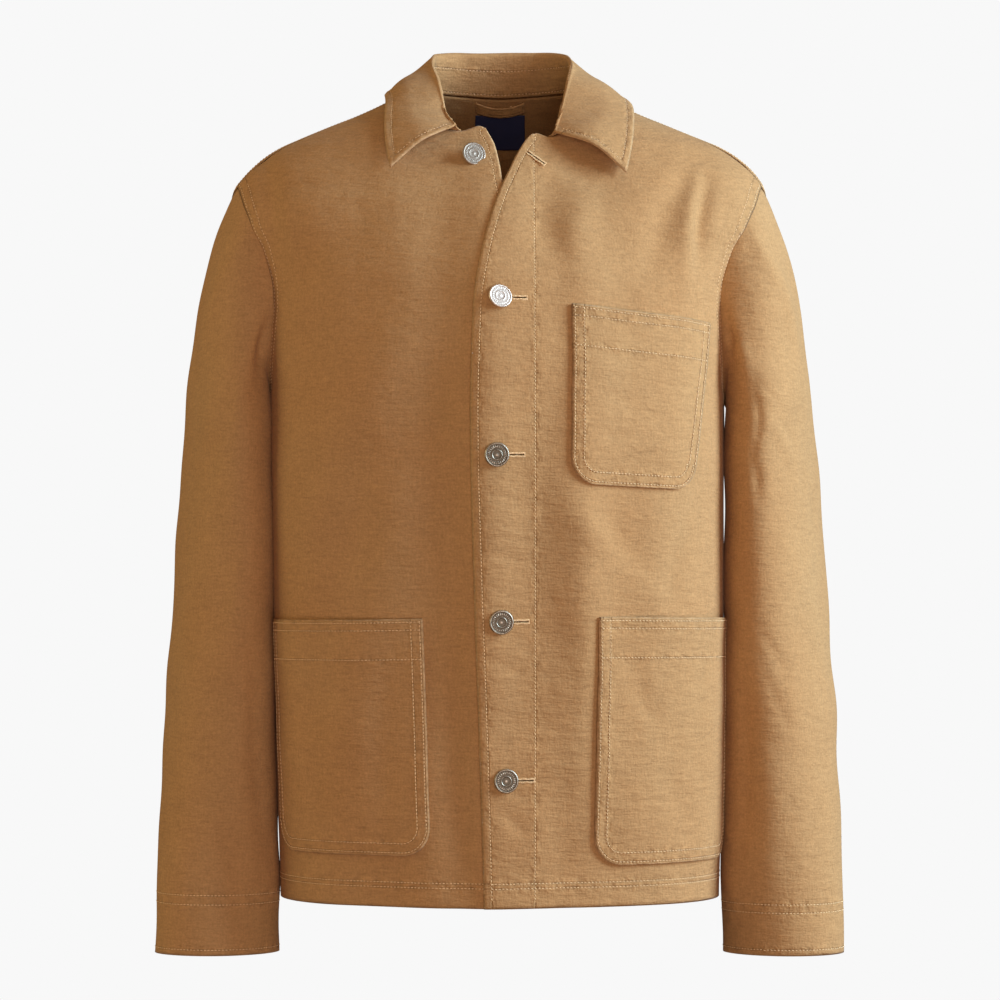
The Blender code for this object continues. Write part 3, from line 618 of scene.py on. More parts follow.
def armhole_loop(side, count):
    """The seam a sleeve starts from, just under the body panels' edge."""
    z = np.linspace(TIP_Z, PIT_Z, count // 2 + 1)
    inward = 0.7 * np.sin(math.pi * np.linspace(0.0, 1.0, len(z))) ** 0.5
    front = along(ARMHOLE, ARMHOLE_COLUMNS, "z", "front", z) - inward
    back = along(ARMHOLE, ARMHOLE_COLUMNS, "z", "back", z) + inward
    front = body_point(side * front, z, -UNDER_PANEL)
    back = body_point(side * back, z, -UNDER_PANEL)
    return np.concatenate([front, back[-2:0:-1]])


def sleeve_grid(side, around, cap, down):
    """Rings of a sleeve from the armhole to the cuff."""
    seam = armhole_loop(side, around)
    first = sleeve_ring(side, CAP_Z, around)
    leave = sleeve_ring(side, CAP_Z - 0.03, around) - first
    leave /= np.linalg.norm(leave, axis=1, keepdims=True)
    swing = np.sin(2.0 * math.pi * np.arange(around) / around)
    start = np.stack([side * np.full(around, 0.46), -0.30 * swing, np.full(around, -0.88)], axis=-1)
    start /= np.linalg.norm(start, axis=1, keepdims=True)
    length = np.linalg.norm(first - seam, axis=1, keepdims=True)
    rings = []
    for t in np.linspace(0.0, 1.0, cap, endpoint=False):
        ring = seam * (1.0 + 2.0 * t) * (1.0 - t) ** 2 + first * t * t * (3.0 - 2.0 * t)
        ring = ring + start * length * t * (1.0 - t) ** 2
        rings.append(ring + leave * length * t * t * (t - 1.0))
    for z in np.linspace(CAP_Z, CUFF_Z, down):
        rings.append(sleeve_ring(side, z, around))
    return np.array(rings)


def normals(grid, closed, flip):
    """Unit normals of a grid of points, on the face that sheet() calls outer."""
    if closed:
        around = np.roll(grid, -1, axis=1) - np.roll(grid, 1, axis=1)
    else:
        around = np.gradient(grid, axis=1)
    face = np.cross(around, np.gradient(grid, axis=0))
    face /= np.linalg.norm(face, axis=-1, keepdims=True) + 1e-12
    return -face if flip else face


def near(points, path):
    """Distance from each point to a polyline's points."""
    flat = points.reshape(-1, 3)
    best = np.full(len(flat), 9.0)
    for a, b in zip(path[:-1], path[1:]):
        leg = b - a
        t = np.clip((flat - a) @ leg / max(float(leg @ leg), 1e-12), 0.0, 1.0)
        best = np.minimum(best, np.linalg.norm(flat - a - t[:, None] * leg, axis=1))
    return best.reshape(points.shape[:-1])


def mesh_object(name, points, faces, uvs, finish, body="root"):
    """A smooth mesh from arrays; uvs maps a layer's name to two values a point."""
    mesh = bpy.data.meshes.new(name)
    faces = np.asarray(faces)
    sides = faces.shape[1]
    mesh.vertices.add(len(points))
    mesh.vertices.foreach_set("co", np.asarray(points, dtype=np.float32).ravel())
    mesh.loops.add(faces.size)
    mesh.loops.foreach_set("vertex_index", faces.astype(np.int32).ravel())
    mesh.polygons.add(len(faces))
    mesh.polygons.foreach_set("loop_start", np.arange(0, faces.size, sides, dtype=np.int32))
    mesh.polygons.foreach_set("use_smooth", np.ones(len(faces), dtype=bool))
    for layer, (u, v) in uvs.items():
        both = np.stack([np.ravel(u), np.ravel(v)], axis=-1)[faces.ravel()]
        mesh.uv_layers.new(name=layer).data.foreach_set("uv", both.astype(np.float32).ravel())
    mesh.update(calc_edges=True)
    mesh.validate()
    obj = bpy.data.objects.new(name, mesh)
    scene.collection.objects.link(obj)
    obj.data.materials.append(finish)
    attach(obj, body)
    return obj


def grid_faces(rows, count, closed):
    """Four-sided faces between the points of a grid."""
    i, j = np.meshgrid(np.arange(rows - 1), np.arange(count - (not closed)), indexing="ij")
    low, high = i * count, (i + 1) * count
    k = (j + 1) % count
    return np.stack([low + j, low + k, high + k, high + j], -1).reshape(-1, 4)


def cloth(name, grid, uvs, finish, thickness, closed=False, flip=False):
    """A thin shell of cloth on a grid of points."""
    faces = grid_faces(*grid.shape[:2], closed)
    if flip:
        faces = faces[:, ::-1]
    obj = mesh_object(name, grid.reshape(-1, 3), faces, uvs, finish)
    wall = obj.modifiers.new("wall", "SOLIDIFY")
    wall.thickness = thickness
    wall.offset = -1.0
    wall.use_even_offset = False
    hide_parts(name.replace("_cloth", ""))
    return obj


def cut_size(grid, closed=False):
    """Flat width, length and area of a grid of cloth, before it was shaped."""
    a = grid[:-1, :-1]
    b = grid[:-1, 1:]
    c = grid[1:, 1:]
    d = grid[1:, :-1]
    if closed:
        a, b = grid[:-1], np.roll(grid[:-1], -1, axis=1)
        d, c = grid[1:], np.roll(grid[1:], -1, axis=1)
    area = 0.5 * np.linalg.norm(np.cross(c - a, d - b), axis=-1).sum()
    ring = np.linalg.norm(b - a, axis=-1).sum(axis=1)
    fall = np.linalg.norm(np.diff(grid, axis=0), axis=-1).sum(axis=0)
    return float(ring.max()), float(fall.max()), float(area)


def declare(grid, closed=False):
    width, length, area = cut_size(grid, closed)
    length = max(length, 0.010)
    area = min(area, width * length)


# ---------------------------------------------------------------- stitching


def level_path(grid, face, field, level, by_rows, last=False):
    """Where a distance field crosses a level along each row (or column), in order."""
    if not by_rows:
        grid, face, field = (np.swapaxes(v, 0, 1) for v in (grid, face, field))
    points, ups = [], []
    for row, up, value in zip(grid, face, field):
        change = (value[:-1] - level) * (value[1:] - level)
        hits = np.nonzero(change <= 0.0)[0]
        if not len(hits):
            continue
        k = hits[-1] if last else hits[0]
        t = (level - value[k]) / (value[k + 1] - value[k] + 1e-12)
        points.append(row[k] + t * (row[k + 1] - row[k]))
        ups.append(up[k] + t * (up[k + 1] - up[k]))
    return np.array(points), np.array(ups)


def cut_path(path, keep):
    points, ups = path
    chosen = keep(points)
    return points[chosen], ups[chosen]


def spaced(path, pitch, closed=False):
    """Centres, directions and normals at even steps along a path."""
    points, ups = path
    if closed:
        points = np.concatenate([points, points[:1]])
        ups = np.concatenate([ups, ups[:1]])
    run = run_along(points)
    count = max(int(run[-1] / pitch), 1)
    want = (np.arange(count) + 0.5) * run[-1] / count
    at = np.stack([np.interp(want, run, points[:, k]) for k in range(3)], axis=-1)
    ahead = np.stack([np.interp(want + 0.0006, run, points[:, k]) for k in range(3)], axis=-1)
    behind = np.stack([np.interp(want - 0.0006, run, points[:, k]) for k in range(3)], axis=-1)
    up = np.stack([np.interp(want, run, ups[:, k]) for k in range(3)], axis=-1)
    return at, ahead - behind, up


def threads(name, sets, finish, seed):
    """Short thread ends as one mesh. A set is centres, directions, normals, length and radius."""
    sides = 5
    turn = 2.0 * math.pi * np.arange(sides) / sides
    ring = np.stack([np.cos(turn), np.sin(turn)], axis=-1)
    ends = np.array([[-0.5, 0.55, -0.55], [-0.22, 1.0, 0.25], [0.22, 1.0, 0.25], [0.5, 0.55, -0.55]])
    points = []
    draw = np.random.default_rng(seed)
    for at, ahead, up, length, radius in sets:
        ahead = ahead / np.linalg.norm(ahead, axis=1, keepdims=True)
        up = up - ahead * np.sum(up * ahead, axis=1, keepdims=True)
        up /= np.linalg.norm(up, axis=1, keepdims=True)
        side = np.cross(up, ahead)
        count = len(at)
        at = at + side * draw.normal(0.0, 0.12 * radius, (count, 1))
        size = length * draw.uniform(0.90, 1.05, (count, 1))
        block = np.empty((count, len(ends), sides, 3))
        for e, (u, r, h) in enumerate(ends):
            for s in range(sides):
                block[:, e, s] = (
                    at + ahead * u * size + side * (r * radius * ring[s, 0])
                    + up * (radius * (0.7 * r * ring[s, 1] + h))
                )
        points.append(block.reshape(-1, 3))
    points = np.concatenate(points)
    count = len(points) // (len(ends) * sides)
    one = []
    for e in range(len(ends) - 1):
        for s in range(sides):
            t = (s + 1) % sides
            one.append((e * sides + s, e * sides + t, (e + 1) * sides + t, (e + 1) * sides + s))
    one = np.array(one)
    start = (np.arange(count) * len(ends) * sides)[:, None, None]
    faces = (one[None] + start).reshape(-1, 4)
    return mesh_object(name, points, faces, {}, finish)


# Rows of stitching, in metres from the seam or edge they follow.
EDGE_ROW = 0.0062
HEM_LEVELS = (0.0165, 0.0205)
ARM_LEVELS = (0.0030, 0.0110)
SHOULDER_LEVELS = (0.0030, 0.0095)
STAND_FOOT_ROW = 0.0026
POCKET_EDGE_ROW = 0.0024
POCKET_TOP_LEVELS = (0.0026, 0.0090)
CLOTH_SKIN = 0.0012  # thickness of the shells that show
POCKET_CLOTH = 0.0017
STITCH_PITCH = 0.0030
STITCH_LENGTH = 0.0023
STITCH_RADIUS = 0.00038


def row_set(path, closed=False, pitch=STITCH_PITCH):
    at, ahead, up = spaced(path, pitch, closed)
    return at, ahead, up, STITCH_LENGTH * pitch / STITCH_PITCH, STITCH_RADIUS


# ---------------------------------------------------------------- materials


class Tree:
    """Short calls for building a material's nodes."""

    def __init__(self, name):
        self.mat = bpy.data.materials.new(name)
        self.mat.use_nodes = True
        self.nodes = self.mat.node_tree.nodes
        self.links = self.mat.node_tree.links
        self.shader = self.nodes["Principled BSDF"]
        self.place = self.nodes.new("ShaderNodeTexCoord").outputs["Object"]
        self.maps = {}

    def put(self, socket, value):
        if isinstance(value, bpy.types.NodeSocket):
            self.links.new(value, socket)
        else:
            socket.default_value = value

    def fill(self, node, **values):
        """Sets or links a node's inputs by name, with _ for a space."""
        for name, value in values.items():
            self.put(node.inputs[name.replace("_", " ")], value)

    def calc(self, op, *values):
        node = self.nodes.new("ShaderNodeMath")
        node.operation = op
        for socket, value in zip(node.inputs, values):
            self.put(socket, value)
        return node.outputs[0]

    def add(self, a, b):
        return self.calc("ADD", a, b)

    def times(self, a, b):
        return self.calc("MULTIPLY", a, b)

    def most(self, a, b):
        return self.calc("MAXIMUM", a, b)

    def total(self, values):
        result = values[0]
        for value in values[1:]:
            result = self.add(result, value)
        return result

    def ramp(self, value, low, high, start, end):
        node = self.nodes.new("ShaderNodeMapRange")
        node.interpolation_type = "SMOOTHSTEP"
        self.fill(node, Value=value, From_Min=low, From_Max=high, To_Min=start, To_Max=end)
        return node.outputs["Result"]

    def noise(self, scale, detail=2.0, rough=0.5, shift=0.0, turn=0.0):
        """Noise with its own scale along x, y and z, turned about the y axis."""
        warp = self.nodes.new("ShaderNodeMapping")
        self.fill(warp, Vector=self.place, Rotation=(0.0, turn, 0.0), Location=(shift,) * 3, Scale=scale)
        node = self.nodes.new("ShaderNodeTexNoise")
        self.fill(node, Vector=warp.outputs["Vector"], Scale=1.0, Detail=detail, Roughness=rough)
        return node.outputs["Fac"]

    def distance(self, channel):
        """Distance in metres to one of a piece's lines, kept in its UV maps."""
        if channel not in self.maps:
            layer, axis = CHANNELS[channel]
            uv = self.nodes.new("ShaderNodeUVMap")
            uv.uv_map = layer
            split = self.nodes.new("ShaderNodeSeparateXYZ")
            self.links.new(uv.outputs["UV"], split.inputs["Vector"])
            self.maps[channel] = split.outputs[axis]
        return self.maps[channel]

    def fade(self, channel, width):
        """1 on a piece's line, 0 from one width away."""
        return self.ramp(self.distance(channel), 0.0, width, 1.0, 0.0)

    def hump(self, value, centre, width):
        """1 at the centre, 0 one width away."""
        t = self.times(self.calc("SUBTRACT", value, centre), 1.0 / width)
        t = self.calc("SUBTRACT", 1.0, self.times(t, t))
        return self.calc("POWER", self.most(t, 0.0), 2.0)

    def scale(self, colour, value):
        node = self.nodes.new("ShaderNodeVectorMath")
        node.operation = "SCALE"
        self.put(node.inputs[0], colour[:3] if isinstance(colour, tuple) else colour)
        self.put(node.inputs["Scale"], value)
        return node.outputs[0]

    def blend(self, share, a, b):
        node = self.nodes.new("ShaderNodeMix")
        node.data_type = "RGBA"
        self.fill(node, Factor=share, A=a, B=b)
        return node.outputs["Result"]

    def relief(self, height):
        node = self.nodes.new("ShaderNodeBump")
        self.fill(node, Strength=1.0, Distance=1.0, Height=height)
        self.links.new(node.outputs["Normal"], self.shader.inputs["Normal"])

    def look(self, **values):
        self.fill(self.shader, **values)
        return self.mat


CHANNELS = {
    "edge": ("near_a", "X"),
    "hem": ("near_a", "Y"),
    "arm": ("near_b", "X"),
    "shoulder": ("near_b", "Y"),
    "neck": ("near_c", "X"),
    "side": ("near_c", "Y"),
}
TAN = (0.52, 0.283, 0.118, 1.0)
TAN_LIGHT = (0.66, 0.40, 0.20, 1.0)
THREAD = (0.96, 0.66, 0.36, 1.0)
THREAD_INSIDE = (0.88, 0.58, 0.32, 1.0)
# near-black of the sheets that paint the shadow inside the buttonhole slits
SLIT_PAINTED_SHADOW = (0.035, 0.018, 0.008, 1.0)
NAVY = (0.040, 0.052, 0.150, 1.0)
NAVY_RIM = (0.022, 0.028, 0.085, 1.0)
# Noises of the canvas: scale along x, y and z, detail, roughness, shift, turn about y,
# height of the relief in metres and share of the shade.
WEAVE = (
    ("slub", (95.0, 95.0, 640.0), 2.0, 0.6, 0.0, 0.0, 0.00024, 0.15),
    ("warp", (640.0, 640.0, 120.0), 1.0, 0.5, 3.0, 0.0, 0.00020, 0.20),
    ("grain", (560.0, 560.0, 560.0), 2.0, 0.6, 5.0, 0.0, 0.00024, 0.52),
    ("twill", (110.0, 110.0, 540.0), 1.0, 0.5, 7.0, 0.60, 0.00030, 0.26),
    ("cloud", (9.0, 9.0, 6.0), 3.0, 0.55, 9.0, 0.0, 0.0, 0.16),
    ("soft", (45.0, 45.0, 30.0), 2.0, 0.5, 11.0, 0.0, 0.0013, 0.10),
    ("pucker", (150.0, 150.0, 150.0), 2.0, 0.55, 13.0, 0.0, 0.0, 0.0),
    ("crumple", (38.0, 38.0, 150.0), 3.0, 0.55, 15.0, 0.30, 0.0015, 0.0),
)
GROOVE_AND_SHADE = (0.0011, -0.00048, -0.12)  # a stitched row: half width, relief, painted shade in its groove
PUCKER_LIT_AND_SHADED = (0.0062, 0.0024, 0.60)  # the cloth drawn up beside it: half width, relief, share of painted highlight and shade on the puckers
STEP_HALF = 0.0009
SEAM_TURN_AND_SHADOW = (0.0026, 0.0017, -0.62)  # a seam: width of the turn, width and darkness of its painted shadow line
WORN_TURN = (0.0012, -0.0004)


def canvas(name, rows=(), worn=(), steps=(), shaded_seams=(), tone=1.0, shift=0.0):
    """Cotton canvas. rows are stitched lines, with painted shade in their grooves and painted highlight and
    shade on the puckers beside them; worn are rubbed edges, steps are doubled bands and the last list holds
    seams where the cloth turns in, with a painted shadow line along them, each by channel and distance."""
    tree = Tree(name)
    heights, light, grains = [], [], {}
    for grain, scale, detail, rough, at, turn, height, shade in WEAVE:
        noise = tree.noise(scale, detail, rough, shift + at, turn)
        grains[grain] = tree.calc("SUBTRACT", noise, 0.5)
        for sums, share in ((heights, height), (light, shade)):
            if share:
                sums.append(tree.times(grains[grain], share))
    slub, cloud, pucker = grains["slub"], grains["cloud"], grains["pucker"]
    masks = []
    # a groove along each stitched row: sunk in the relief and darkened with painted shade
    for channel, at in rows:
        away = tree.distance(channel)
        groove = tree.hump(away, at, GROOVE_AND_SHADE[0])
        heights.append(tree.times(groove, GROOVE_AND_SHADE[1]))
        light.append(tree.times(groove, GROOVE_AND_SHADE[2]))
        masks.append(tree.hump(away, at, PUCKER_LIT_AND_SHADED[0]))
    # the puckers beside the rows: the same noise raises them and paints highlight on their ridges and shade
    # in their hollows
    if masks:
        mask = masks[0]
        for other in masks[1:]:
            mask = tree.most(mask, other)
        drawn = tree.times(mask, pucker)
        heights.append(tree.times(drawn, PUCKER_LIT_AND_SHADED[1]))
        light.append(tree.times(drawn, PUCKER_LIT_AND_SHADED[2]))
    for channel, at, rise in steps:
        heights.append(tree.ramp(tree.distance(channel), at - STEP_HALF, at + STEP_HALF, rise, 0.0))
    # seams where the cloth turns in: sunk in the relief, with a painted shadow line along them
    for channel, deep in shaded_seams:
        heights.append(tree.times(tree.fade(channel, SEAM_TURN_AND_SHADOW[0]), -deep))
        light.append(tree.times(tree.fade(channel, SEAM_TURN_AND_SHADOW[1]), SEAM_TURN_AND_SHADOW[2]))
    rub = None
    for channel, wide in worn:
        rim = tree.fade(channel, wide)
        rub = rim if rub is None else tree.most(rub, rim)
        heights.append(tree.times(tree.fade(channel, WORN_TURN[0]), WORN_TURN[1]))
    value = tree.add(tree.total(light), tone)
    colour = tree.blend(tree.add(0.5, tree.times(cloud, 1.6)),
                        (TAN[0] * 1.02, TAN[1] * 0.97, TAN[2] * 0.93, 1.0),
                        (TAN[0] * 0.98, TAN[1] * 1.03, TAN[2] * 1.07, 1.0))
    if rub is not None:
        patchy = tree.ramp(tree.add(pucker, slub), -0.30, 0.20, 0.25, 1.0)
        share = tree.times(tree.times(rub, patchy), 0.85)
        colour = tree.blend(share, colour, TAN_LIGHT)
    tree.relief(tree.total(heights))
    return tree.look(Base_Color=tree.scale(colour, value), Roughness=0.92,
                     Specular_IOR_Level=0.18, Sheen_Weight=0.10, Sheen_Roughness=0.45,
                     Sheen_Tint=(1.0, 0.90, 0.78, 1.0))


def thread_finish(name, colour, spread):
    tree = Tree(name)
    tuft = tree.noise((1500.0, 1500.0, 1500.0), 1.0, 0.5, 21.0)
    patch = tree.noise((60.0, 60.0, 60.0), 2.0, 0.5, 23.0)
    value = tree.add(1.0 - spread, tree.times(tree.add(tuft, patch), spread))
    return tree.look(Base_Color=tree.scale(colour, value), Roughness=0.85, Specular_IOR_Level=0.10)


# A flat near-black finish that paints the shadow inside the buttonhole slits.
def slit_shadow_finish():
    tree = Tree("slit_painted_shadow")
    return tree.look(Base_Color=SLIT_PAINTED_SHADOW, Roughness=1.0, Specular_IOR_Level=0.0)


def label_finish():
    tree = Tree("label_navy")
    weave = tree.noise((2200.0, 2200.0, 700.0), 1.0, 0.5, 2.0)
    cloud = tree.noise((60.0, 60.0, 60.0), 2.0, 0.5, 4.0)
    value = tree.add(0.75, tree.times(tree.add(weave, cloud), 0.28))
    rim = tree.ramp(tree.distance("edge"), 0.0006, 0.0011, 1.0, 0.0)
    colour = tree.blend(tree.times(rim, 0.6), NAVY, NAVY_RIM)
    tree.relief(tree.times(weave, 0.00012))
    return tree.look(Base_Color=tree.scale(colour, value), Roughness=0.55, Specular_IOR_Level=0.35,
                     Sheen_Weight=0.15, Sheen_Roughness=0.4)


def metal_finish(name, dark, bright, dull):
    """Antique nickel: bright rubbed rims, dull pitted hollows, generic radial bars in the ring."""
    tree = Tree(name)
    split = tree.nodes.new("ShaderNodeSeparateXYZ")
    tree.links.new(tree.place, split.inputs["Vector"])
    x, y = split.outputs["X"], split.outputs["Y"]
    away = tree.calc("SQRT", tree.add(tree.times(x, x), tree.times(y, y)))
    turn = tree.calc("ARCTAN2", y, x)
    pits = tree.noise((1400.0, 1400.0, 1400.0), 3.0, 0.6)
    blot = tree.noise((350.0, 350.0, 350.0), 2.0, 0.5, 4.0)
    bars = tree.calc("SINE", tree.times(turn, 26.0))
    ring = tree.hump(away, 0.0068, 0.0014)
    raised = tree.times(ring, tree.ramp(bars, -0.2, 0.5, 0.0, 1.0))
    inner = tree.hump(away, 0.0040, 0.0005)
    middle = tree.ramp(away, 0.0, 0.0018, 1.0, 0.0)
    height = tree.total([
        tree.times(raised, 0.00020),
        tree.times(inner, 0.00018),
        tree.times(middle, 0.00016),
        tree.times(pits, 0.00016),
    ])
    rim = tree.ramp(away, 0.0084, 0.0092, 0.0, 1.0)
    proud = tree.most(tree.most(raised, inner), tree.most(rim, middle))
    proud = tree.times(proud, tree.ramp(blot, 0.35, 0.6, 0.55, 1.0))
    colour = tree.blend(proud, dark, bright)
    value = tree.add(0.72, tree.times(pits, 0.56))
    tree.relief(height)
    return tree.look(Base_Color=tree.scale(colour, value), Metallic=1.0,
                     Roughness=tree.ramp(tree.add(pits, proud), 0.3, 1.3, dull, dull - 0.16))


# ---------------------------------------------------------------- the pieces

thread = thread_finish("thread_tan", THREAD, 0.30)
thread_dark = thread_finish("thread_inside", THREAD_INSIDE, 0.30)
sewn = {}


def sew(name, paths):
    """Keeps a piece's rows of stitching, which become its threads once every piece is there."""
    sewn[name] = [row_set(p) for p in paths if len(p[0]) > 2]


def far_off(like):
    """A distance field for a line that a piece does not have."""
    return 0.0 * like + 1.0


def panel_field(points, edge, hem, arm, shoulder, neck, side):
    """Distances from every point of a panel to its outline's parts, for the shader."""
    lines = {"edge": edge, "hem": hem, "arm": arm, "shoulder": shoulder, "neck": neck, "side": side}
    return {channel: near(points, line) for channel, line in lines.items()}


def maps_of(field):
    """A piece's UV maps, two channels in each; a channel it does not have reads as far off."""
    far = far_off(next(iter(field.values())))
    maps = {}
    for channel, (layer, _) in CHANNELS.items():
        maps[layer] = maps.get(layer, ()) + (field.get(channel, far),)
    return maps


PIT_ROW = FINE_ROWS[0]
TIP_ROW = FINE_ROWS[0] + FINE_ROWS[1]
FACING = 0.0475  # the facing's row, kept in the place of the neck's distances
PANEL_LEVELS = [("hem", at) for at in HEM_LEVELS] + [("arm", at) for at in ARM_LEVELS]
FRONT_ROWS = [("edge", EDGE_ROW), ("neck", FACING)] + PANEL_LEVELS
BACK_ROWS = PANEL_LEVELS + [("shoulder", at) for at in SHOULDER_LEVELS]
ARM_PART = slice(max(PIT_ROW - 6, 0), TIP_ROW + 3)


def front(name, edge, neck, side, rise, has_top):
    angle, z, out = front_panel(edge, neck, side, rise, FINE_ACROSS, FINE_ROWS)
    base = body_point(angle, z)
    out = out + front_relief(base[..., 0], z)
    grid = body_point(angle, z, out)
    field = panel_field(base, base[::4, 0], base[0, ::3], base[PIT_ROW:TIP_ROW + 1, -1][::2],
                        base[TIP_ROW:, -1][::2], base[-1, ::3], base[:PIT_ROW + 1, -1][::6])
    # the facing's inner edge runs straight down
    field["neck"] = base[..., 0] - FACING_X + FACING
    flip = side < 0.0
    face = normals(grid, False, flip)
    rows = FRONT_ROWS if has_top else FRONT_ROWS[0:1] + FRONT_ROWS[2:]
    finish = canvas(name + "_canvas", rows, (("edge", 0.0020), ("hem", 0.0016)),
                    ((("neck", FACING, 0.0005),) if has_top else ())
                    + (("hem", 0.0205, 0.0007), ("arm", 0.0115, 0.0008)),
                    (("shoulder", 0.0009), ("arm", 0.0009)), 1.0, 0.0 if side > 0 else 31.0)
    obj = cloth(name + "_cloth", grid, maps_of(field), finish, CLOTH_SKIN, False, flip)
    paths = []
    hem_keep = lambda p: p[:, 2] > HEM_Z + 0.0035
    paths.append(cut_path(level_path(grid, face, field["edge"], EDGE_ROW, True), hem_keep))
    if has_top:
        paths.append(cut_path(level_path(grid, face, field["neck"], FACING, True), hem_keep))
    for level in HEM_LEVELS:
        path = level_path(grid, face, field["hem"], level, False)
        paths.append(cut_path(path, lambda p: abs(p[:, 0] - p[0, 0]) > 0.003))
    part = (ARM_PART, slice(FINE_ACROSS // 2, None))
    for level in ARM_LEVELS:
        paths.append(level_path(grid[part], face[part], field["arm"][part], level, True, True))
    sew(name, paths)
    return obj, grid


def back_piece():
    angle, z, _ = back_panel(FINE_BACK, FINE_ROWS)
    base = body_point(angle, z)
    x = base[..., 0]
    fade = step_up(-z, 0.020, 0.070)
    relief = (folds(FOLDS_BACK, x, z) + ripple(x, z, 11, 0.10, 0.0010)) * fade
    grid = body_point(angle, z, relief)
    arm, shoulder = base[PIT_ROW:TIP_ROW + 1][::2], base[TIP_ROW:][::2]
    field = panel_field(base, base[-1, ::4] + 1.0, base[0, ::4], arm[:, 0],
                        shoulder[:, 0], base[-1, ::3], base[:PIT_ROW + 1, 0][::6])
    field["arm"] = np.minimum(field["arm"], near(base, arm[:, -1]))
    field["shoulder"] = np.minimum(field["shoulder"], near(base, shoulder[:, -1]))
    finish = canvas("back_canvas", BACK_ROWS, (("hem", 0.0016),),
                    (("hem", 0.0205, 0.0007), ("arm", 0.0115, 0.0008), ("shoulder", 0.0100, 0.0006)),
                    (("side", 0.0006), ("arm", 0.0009)), 1.0, 17.0)
    obj = cloth("back_cloth", grid, maps_of(field), finish, CLOTH_SKIN)
    face = normals(grid, False, False)
    half = FINE_BACK - 1
    paths = [level_path(grid, face, field["hem"], level, False) for level in HEM_LEVELS]
    top = slice(TIP_ROW, None)
    for levels, channel, rows in ((ARM_LEVELS, "arm", ARM_PART), (SHOULDER_LEVELS, "shoulder", top)):
        for level in levels:
            for columns in (slice(0, half), slice(half, None)):
                part = (rows, columns)
                paths.append(level_path(grid[part], face[part], field[channel][part],
                                        level, True, columns.start > 0))
    sew("back", paths)
    return obj, grid


def sleeve(name, side, table, seed):
    grid = sleeve_grid(side, SLEEVE_AROUND, SLEEVE_CAP, SLEEVE_DOWN)
    flip = side < 0.0
    face = normals(grid, True, flip)
    z = grid[..., 2]
    turn = np.degrees(2.0 * math.pi * np.arange(SLEEVE_AROUND) / SLEEVE_AROUND)[None, :] + 0.0 * z
    scaled = [(s0 / 360.0 * SLEEVE_GIRTH, z0, s1 / 360.0 * SLEEVE_GIRTH, *rest)
              for s0, z0, s1, *rest in table]
    s = turn / 360.0 * SLEEVE_GIRTH
    relief = sum(folds(scaled, s + lap * SLEEVE_GIRTH, z) for lap in (0, -1, 1))
    wave = sum(ripple(f(np.radians(turn)) * 0.05, z, seed + n, 0.09, 0.0006)
               for n, f in enumerate((np.cos, np.sin)))
    # the inner flank lies smooth against the body's side
    flank = np.exp(-(((turn - 150.0) / 30.0) ** 2)) * step_up(-z, 0.22, 0.29)
    near_body = 0.0043 + 0.0024 * (1.0 - step_up(-z, 0.33, 0.46))
    close = near_body - 0.85 * np.minimum(relief, 0.0)
    relief = relief + flank * close * (1.0 - step_up(-z, 0.66, 0.72))
    along_arm = np.linalg.norm(grid - grid[0][None], axis=-1)
    relief = (relief + wave) * step_up(along_arm, 0.004, 0.030)
    grid = grid + face * relief[..., None]
    face = normals(grid, True, flip)
    down = np.cumsum(np.linalg.norm(np.diff(grid, axis=0), axis=-1).mean(axis=1))
    down = np.concatenate([[0.0], down])
    hem = (down[-1] - down)[:, None] + 0.0 * z
    maps = maps_of({"hem": hem, "arm": near(grid, np.concatenate([grid[0], grid[0, :1]]))})
    rows = [("hem", at) for at in (CUFF_EDGE_ROW, *CUFF_ROWS[side])]
    finish = canvas(name + "_canvas", rows, (("hem", 0.0018),), (("hem", CUFF_ROWS[side][1], 0.00045),),
                    (), 1.0, 43.0 + 7.0 * side)
    obj = cloth(name + "_cloth", grid, maps, finish, CLOTH_SKIN, True, flip)
    paths = [level_path(grid, face, hem, level, False) for _, level in rows]
    sewn[name] = [row_set(p, True) for p in paths]
    return obj, grid


